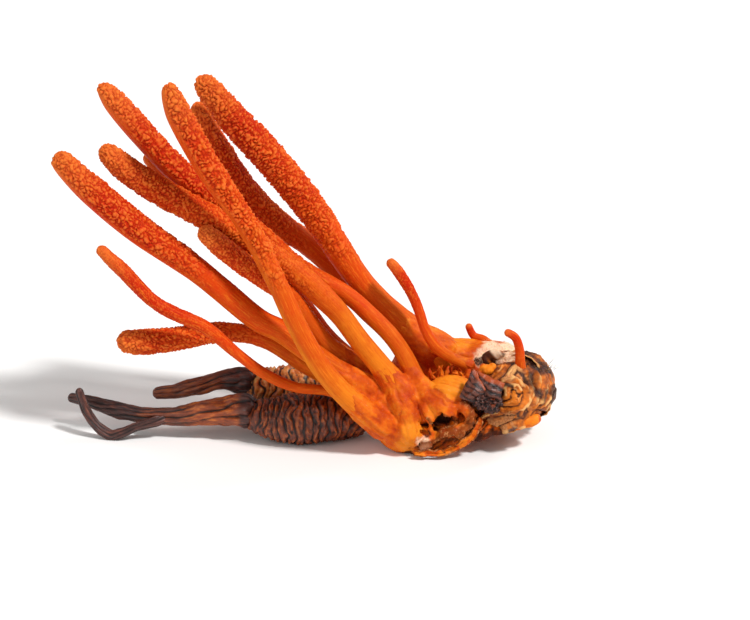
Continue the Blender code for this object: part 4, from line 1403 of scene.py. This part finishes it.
class BUNCH_OT_chips(bpy.types.Operator):
    """Builds the curled slivers of membrane in the hollow between the clubs' feet"""

    bl_idname = "bunch.chips"
    bl_label = "Membrane chips"

    def execute(self, context):
        pick = np.random.default_rng(7)
        sheets = []
        for i in range(CHIPS):
            share = i / (CHIPS - 1)
            x = 38.2 + 12.6 * share + pick.normal(0, 0.6)
            spot = (x, 0.6 + pick.normal(0, 1.6), 20.8 + pick.normal(0, 0.5))
            sheets.append(chip_mesh(
                spot, pick.uniform(2.4, 4.2), pick.uniform(0.9, 1.9), pick.uniform(-180, 180),
                pick.uniform(-50, 40), pick.uniform(0.4, 1.9), 1700 + 9 * i,
            ))
        mesh = join("membrane_chips", sheets)
        points = table_points(mesh)
        store(mesh, "fibre", 0.5 + 0.5 * rough_noise(points, 0.9, 1900, 2))
        store(mesh, "relief", np.ones(len(points)))
        store(mesh, "red", ease(rough_noise(points, 2.4, 1910, 2), -0.25, 0.25))
        rind = shared("mycelium_rind", mat_material, context.scene.bunch_rind)
        finish_piece("membrane_chips", mesh, rind, "mat")
        return {"FINISHED"}


def thread_mesh(name, spots, lengths, directions, thick_mm):
    """Fine tapering threads, each a three-sided spike that stands on its spot."""
    bm = bmesh.new()
    for spot, length, direction in zip(spots, lengths, directions):
        way = Vector(direction).normalized()
        middle = Vector(to_frame(np.array(spot))) + way * (length * MM / 2)
        place = Matrix.Translation(middle) @ way.to_track_quat("Z", "Y").to_matrix().to_4x4()
        bmesh.ops.create_cone(
            bm, segments=3, radius1=thick_mm * MM, radius2=thick_mm * MM * 0.25, depth=length * MM,
            cap_ends=True, matrix=place,
        )
    mesh = bpy.data.meshes.new(name)
    bm.to_mesh(mesh)
    bm.free()
    return mesh


class BUNCH_OT_threads(bpy.types.Operator):
    """Builds the white loose threads on the mat's ridge and the stiff bristles on the crust"""

    bl_idname = "bunch.threads"
    bl_label = "Threads and bristles"

    def execute(self, context):
        look = context.scene.bunch_rind
        pick = np.random.default_rng(11)
        rooted = []
        for skin_name, kind in (("root_mat_skin", "pale"), ("substrate_crust_skin", "bloom")):
            mesh = bpy.data.objects[skin_name].data
            whitened = read(mesh, kind, 1) > 0.35
            rooted.append(pick.choice(table_points(mesh)[whitened], THREADS // 2))
        ways = pick.normal(0, 0.7, (THREADS, 3)) + np.array((0, -0.5, 0.9))
        lengths = pick.uniform(0.4, 1.3, THREADS)
        mesh = thread_mesh("loose_threads", np.vstack(rooted), lengths, ways, THREAD_RADIUS)
        finish_piece("loose_threads", mesh, shared("mycelium_threads", thread_material, look), "mat")

        spots = np.array((73.6, 3.4, 22.6)) + pick.normal(0, 1, (BRISTLES, 3)) * np.array((1.6, 1.6, 0.5))
        ways = pick.normal(0, 0.35, (BRISTLES, 3)) + np.array((0.9, -0.1, 0.8))
        mesh = thread_mesh("bristles", spots, pick.uniform(1.6, 3.0, BRISTLES), ways, BRISTLE_RADIUS)
        finish_piece("bristles", mesh, shared("dry_bristles", bristle_material, look), "crust")
        return {"FINISHED"}


class BUNCH_OT_husks(bpy.types.Operator):
    """Builds the two dark husk flaps and the charred knob"""

    bl_idname = "bunch.husks"
    bl_label = "Husks and charred knob"

    def execute(self, context):
        look = context.scene.bunch_dried
        husk = shared("charred_husk", husk_material, look)
        for name, corners, ribs, orange in (
            ("husk_left", HUSK_LEFT, 1.5, 0.10), ("husk_right", HUSK_RIGHT, 1.9, 0.22),
        ):
            mesh = husk_mesh(name + "_skin", corners, ribs, 400 + int(ribs * 10))
            along = read(mesh, "along", 1)
            wander = 0.25 * soft_noise(table_points(mesh), 1.8, 430)
            store(mesh, "yellow", ease(orange - along + wander * orange, -0.08, 0.14))
            finish_piece(name + "_skin", mesh, husk, "husk", name)
        mesh = fused("char_knob_skin", CHAR_KNOB, [], 0.16, 3)
        points = table_points(mesh)
        near, after, _, _ = cell_noise(warped(points, 1.4, 0.8, 440), 1.25, 444)
        worm = 1 - np.abs(rough_noise(warped(points, 1.5, 0.9, 450), (1.5, 1.5, 1.1), 452, 2)) * 2.6
        knob = np.clip(0.5 * worm + 0.5 * ease(after - near, 0, 0.4), 0, 1)
        raise_skin(mesh, (knob - 0.5) * 1.3)
        # crests high, grooves low: the material paints their light and shade
        store(mesh, "relief", knob)
        store(mesh, "yellow", ease(rough_noise(points, 2.2, 460, 2), 0.42, 0.6) * 0.6)
        finish_piece("char_knob_skin", mesh, husk, "husk", "char_knob")
        return {"FINISHED"}


class BUNCH_OT_small_lumps(bpy.types.Operator):
    """Builds the smooth lobe under the crust, the yellow bud and the thin fold along the foot"""

    bl_idname = "bunch.small_lumps"
    bl_label = "Lobe, bud and fold"

    def execute(self, context):
        look = context.scene.bunch_rind
        rind = shared("mycelium_rind", mat_material, look)
        for name, blobs, rough in (("bottom_lobe", BOTTOM_LOBE, 0.15), ("yellow_bud", YELLOW_BUD, 0.5)):
            mesh = fused(name + "_skin", blobs, [], 0.22, 3)
            points = table_points(mesh)
            lump = rough_noise(points, 2.4, 470, 3)
            raise_skin(mesh, lump * rough)
            # the lumps' crests get painted light and their hollows painted shade
            store(mesh, "fibre", 0.5 + 0.5 * lump)
            store(mesh, "relief", np.ones(len(lump)))
            store(mesh, "yellow", ease(lump, -0.6, 0.2) * (0.9 if name == "yellow_bud" else 0.7))
            finish_piece(name + "_skin", mesh, rind, "mat", name)
        mesh = fold_mesh("rind_fold_skin", RIND_FOLD, 2.6, 480)
        finish_piece("rind_fold_skin", mesh, rind, "mat", "rind_fold")
        return {"FINISHED"}


def fold_mesh(name, guide, width, seed):
    """A thin wavy membrane standing on its edge along a guide."""
    fine, _ = smooth_curve([(*p, 1) for p in guide])
    _, sides, crosses = frames(fine)
    mesh = grid(name, 160, 12)
    corner = read(mesh)
    at = np.rint(corner[:, 0] * (len(fine) - 1)).astype(int)
    rise = corner[:, 1] - 0.5
    centre = fine[at, :3]
    ripple = soft_noise(centre + rise[:, None] * 2, (3.5, 3.5, 3.5), seed)
    wide = width * (0.55 + 0.45 * np.sin(np.clip(corner[:, 0], 0, 1) * math.pi) ** 0.5)
    wide = wide * (1 + 0.45 * soft_noise(centre, 1.7, seed + 1) * (rise > 0))
    out = ripple * 0.6 + 0.7 * (rise * 2) ** 2
    points = centre + crosses[at] * (-rise * wide)[:, None] + sides[at] * out[:, None]
    crease = rough_noise(points, (1.6, 1.6, 0.8), seed + 2, 2)
    points = points + sides[at] * (crease * 0.45)[:, None]
    points[:, 2] = np.maximum(points[:, 2], 0.35)
    move(mesh, to_frame(points))
    # low in the creases, where the material paints shade
    store(mesh, "relief", ease(crease, -0.55, -0.1))
    store(mesh, "rim", ease(np.abs(rise), 0.36, 0.5))
    walled(mesh, FOLD_THICK)
    points = table_points(mesh)
    store(mesh, "fibre", 0.5 + 0.5 * rough_noise(points, 1.4, seed + 4, 3))
    store(mesh, "yellow", ease(rough_noise(points, 3, seed + 7, 3), -0.1, 0.3) * 0.7)
    return mesh


class BUNCH_OT_larvae(bpy.types.Operator):
    """Builds the two dried larvae"""

    bl_idname = "bunch.larvae"
    bl_label = "Dried larvae"

    def execute(self, context):
        look = context.scene.bunch_dried
        hide = shared("dried_larva_skin", larva_material, look)
        for seed, (name, guide) in enumerate(LARVAE.items()):
            mesh = tube(name + "_skin", guide, lambda share: 0.3, 150)
            straight = read(mesh, "straight")
            bent = warped(straight, 5, 1.1, 500 + seed)
            phase = bent[:, 2] / LARVA_RINGS[name] + 0.35 * soft_noise(straight, (4, 4, 4), 505 + seed)
            part = phase - np.floor(phase)
            ring = 1 - np.exp(-((np.minimum(part, 1 - part) / 0.13) ** 2))
            minor = 1 - np.abs(np.sin(bent[:, 2] * math.pi / 1.3 + 2 * soft_noise(straight, 3, 510))) ** 3
            worm = rough_noise(warped(straight, 2, 0.6, 515), (2.6, 2.6, 1.0), 520 + seed, 2)
            worm = 1 - np.abs(worm) * 2.2
            rib = np.clip(ring * (0.25 + 0.40 * minor + 0.4 * worm), 0, 1)
            lump = soft_noise(straight, 5, 530)
            raise_skin(mesh, (rib - 0.6) * 1.15 + lump * 0.35)
            keep_above(mesh, 0)
            # ribs high, grooves low: the material paints their light and shade
            store(mesh, "relief", rib)
            store(mesh, "tone", np.full(len(rib), -0.55 if seed == 0 else 0.5))
            finish_piece(name + "_skin", mesh, hide, "larva", name)
        return {"FINISHED"}


class BUNCH_OT_stalks(bpy.types.Operator):
    """Builds the dark stalks that grew out of the larvae's heads"""

    bl_idname = "bunch.stalks"
    bl_label = "Dark stalks"

    def execute(self, context):
        look = context.scene.bunch_dried
        wood = shared("dried_stalk_wood", stalk_material, look)
        for seed, (name, guide) in enumerate(STALKS.items()):
            mesh = tube(name + "_skin", guide, lambda share: 0.28, 110)
            straight = read(mesh, "straight")
            along = read(mesh, "along", 1)
            thick = max(row[3] for row in guide)
            angle = np.arctan2(straight[:, 1], straight[:, 0]) + straight[:, 2] * 0.045
            angle = angle + 0.5 * soft_noise(straight, (4, 4, 9), 600 + seed)
            cord = np.abs(np.cos(angle * 3.5)) ** 0.7
            fine = rough_noise(straight, (0.9, 0.9, 6), 610 + seed, 3)
            ridge = np.clip(0.75 * cord + 0.35 * fine, 0, 1)
            crumple = rough_noise(straight, (3, 3, 4), 620 + seed, 2)
            size = np.hypot(straight[:, 0], straight[:, 1])
            raise_skin(mesh, ((ridge - 0.6) * 0.34 + crumple * 0.14) * np.minimum(size, thick / 2))
            keep_above(mesh, 0)
            # ridges high, grooves low: the material paints their light and shade
            store(mesh, "relief", ridge)
            warm = along * 0
            if name == "stalk_front":
                worn = ease(along, 0.42, 0.26) * 0.6 + ease(along, 0.66, 0.56) * 0.4
                warm = ease(along, 0.07, 0.12) * worn
            if name == "stalk_back":
                warm = ease(along, 0.25, 0.4) * 0.5
            store(mesh, "warm", np.clip(warm + 0.15 * fine, 0, 1))
            finish_piece(name + "_skin", mesh, wood, "stalk", name)
        return {"FINISHED"}


class BUNCH_OT_stage(bpy.types.Operator):
    """Adds the pale floor, the soft lights and the camera"""

    bl_idname = "bunch.stage"
    bl_label = "Stage"

    def execute(self, context):
        look = context.scene.bunch_stage
        scene = context.scene
        bm = bmesh.new()
        bmesh.ops.create_grid(bm, x_segments=1, y_segments=1, size=FLOOR_HALF)
        mesh = bpy.data.meshes.new("floor")
        bm.to_mesh(mesh)
        bm.free()
        floor = bpy.data.objects.new("floor", mesh)
        scene.collection.objects.link(floor)
        made, _, shader, _ = new_material("pale_floor")
        settle(shader, {"Base Color": look.floor_colour, "Roughness": 0.9, "Specular IOR Level": 0.1})
        mesh.materials.append(made)

        for name, spot, softness, power in (
            ("key", (0.55, -0.45, 0.95), look.softness, look.key_power),
            ("fill", (-0.70, -0.60, 0.40), 1.2, look.fill_power),
            ("edge", (0.85, 0.55, 0.60), 0.3, look.edge_power),
        ):
            light = bpy.data.lights.new(name, "SUN")
            light.angle = softness
            light.energy = power
            lamp = bpy.data.objects.new(name, light)
            lamp.location = spot
            lamp.rotation_euler = (-Vector(spot)).to_track_quat("-Z", "Y").to_euler()
            scene.collection.objects.link(lamp)

        world = bpy.data.worlds.new("soft_sky")
        world.use_nodes = True
        sky = world.node_tree.nodes["Background"]
        sky.inputs["Color"].default_value = (1, 1, 1, 1)
        sky.inputs["Strength"].default_value = look.sky
        scene.world = world
        scene.view_settings.view_transform = "Standard"

        target = Vector(LOOK_AT)
        back = Vector((0, -math.cos(look.elevation), math.sin(look.elevation)))
        lens = bpy.data.cameras.new("camera")
        lens.lens = look.lens
        lens.sensor_width = SENSOR_WIDTH
        lens.clip_start = NEAREST_SEEN
        camera = bpy.data.objects.new("camera", lens)
        camera.location = target + back * look.distance
        camera.rotation_euler = (math.pi / 2 - look.elevation, 0, 0)
        scene.collection.objects.link(camera)
        scene.camera = camera
        return {"FINISHED"}


class BUNCH_PT_panel(bpy.types.Panel):
    """Lists the steps that build the bunch and the sizes and colours they use"""

    bl_idname = "BUNCH_PT_panel"
    bl_label = "Cordyceps bunch"
    bl_space_type = "VIEW_3D"
    bl_region_type = "UI"
    bl_category = "Bunch"

    def draw(self, context):
        for operator in OPERATORS:
            self.layout.operator(operator.bl_idname)
        for name in SETTINGS:
            group = getattr(context.scene, name)
            for key in group.bl_rna.properties.keys():
                if key not in ("rna_type", "name"):
                    self.layout.prop(group, key)


SETTINGS = {
    "bunch_fungus": FungusSettings,
    "bunch_rind": RindSettings,
    "bunch_dried": DriedSettings,
    "bunch_stage": StageSettings,
}
OPERATORS = (
    BUNCH_OT_stage, BUNCH_OT_clubs, BUNCH_OT_thin_clubs, BUNCH_OT_mat, BUNCH_OT_crust, BUNCH_OT_flakes,
    BUNCH_OT_chips, BUNCH_OT_threads, BUNCH_OT_husks, BUNCH_OT_small_lumps, BUNCH_OT_larvae, BUNCH_OT_stalks,
)


def register():
    """Makes the settings, the steps and the panel known."""
    for kind in (*SETTINGS.values(), *OPERATORS, BUNCH_PT_panel):
        bpy.utils.register_class(kind)
    for name, kind in SETTINGS.items():
        setattr(bpy.types.Scene, name, bpy.props.PointerProperty(type=kind))


def unregister():
    """Takes them away again."""
    for name in SETTINGS:
        delattr(bpy.types.Scene, name)
    for kind in reversed((*SETTINGS.values(), *OPERATORS, BUNCH_PT_panel)):
        bpy.utils.unregister_class(kind)


def main():
    """Builds everything in order."""
    register()
    for operator in OPERATORS:
        group, step = operator.bl_idname.split(".")
        getattr(getattr(bpy.ops, group), step)()


if __name__ == "__main__":
    main()
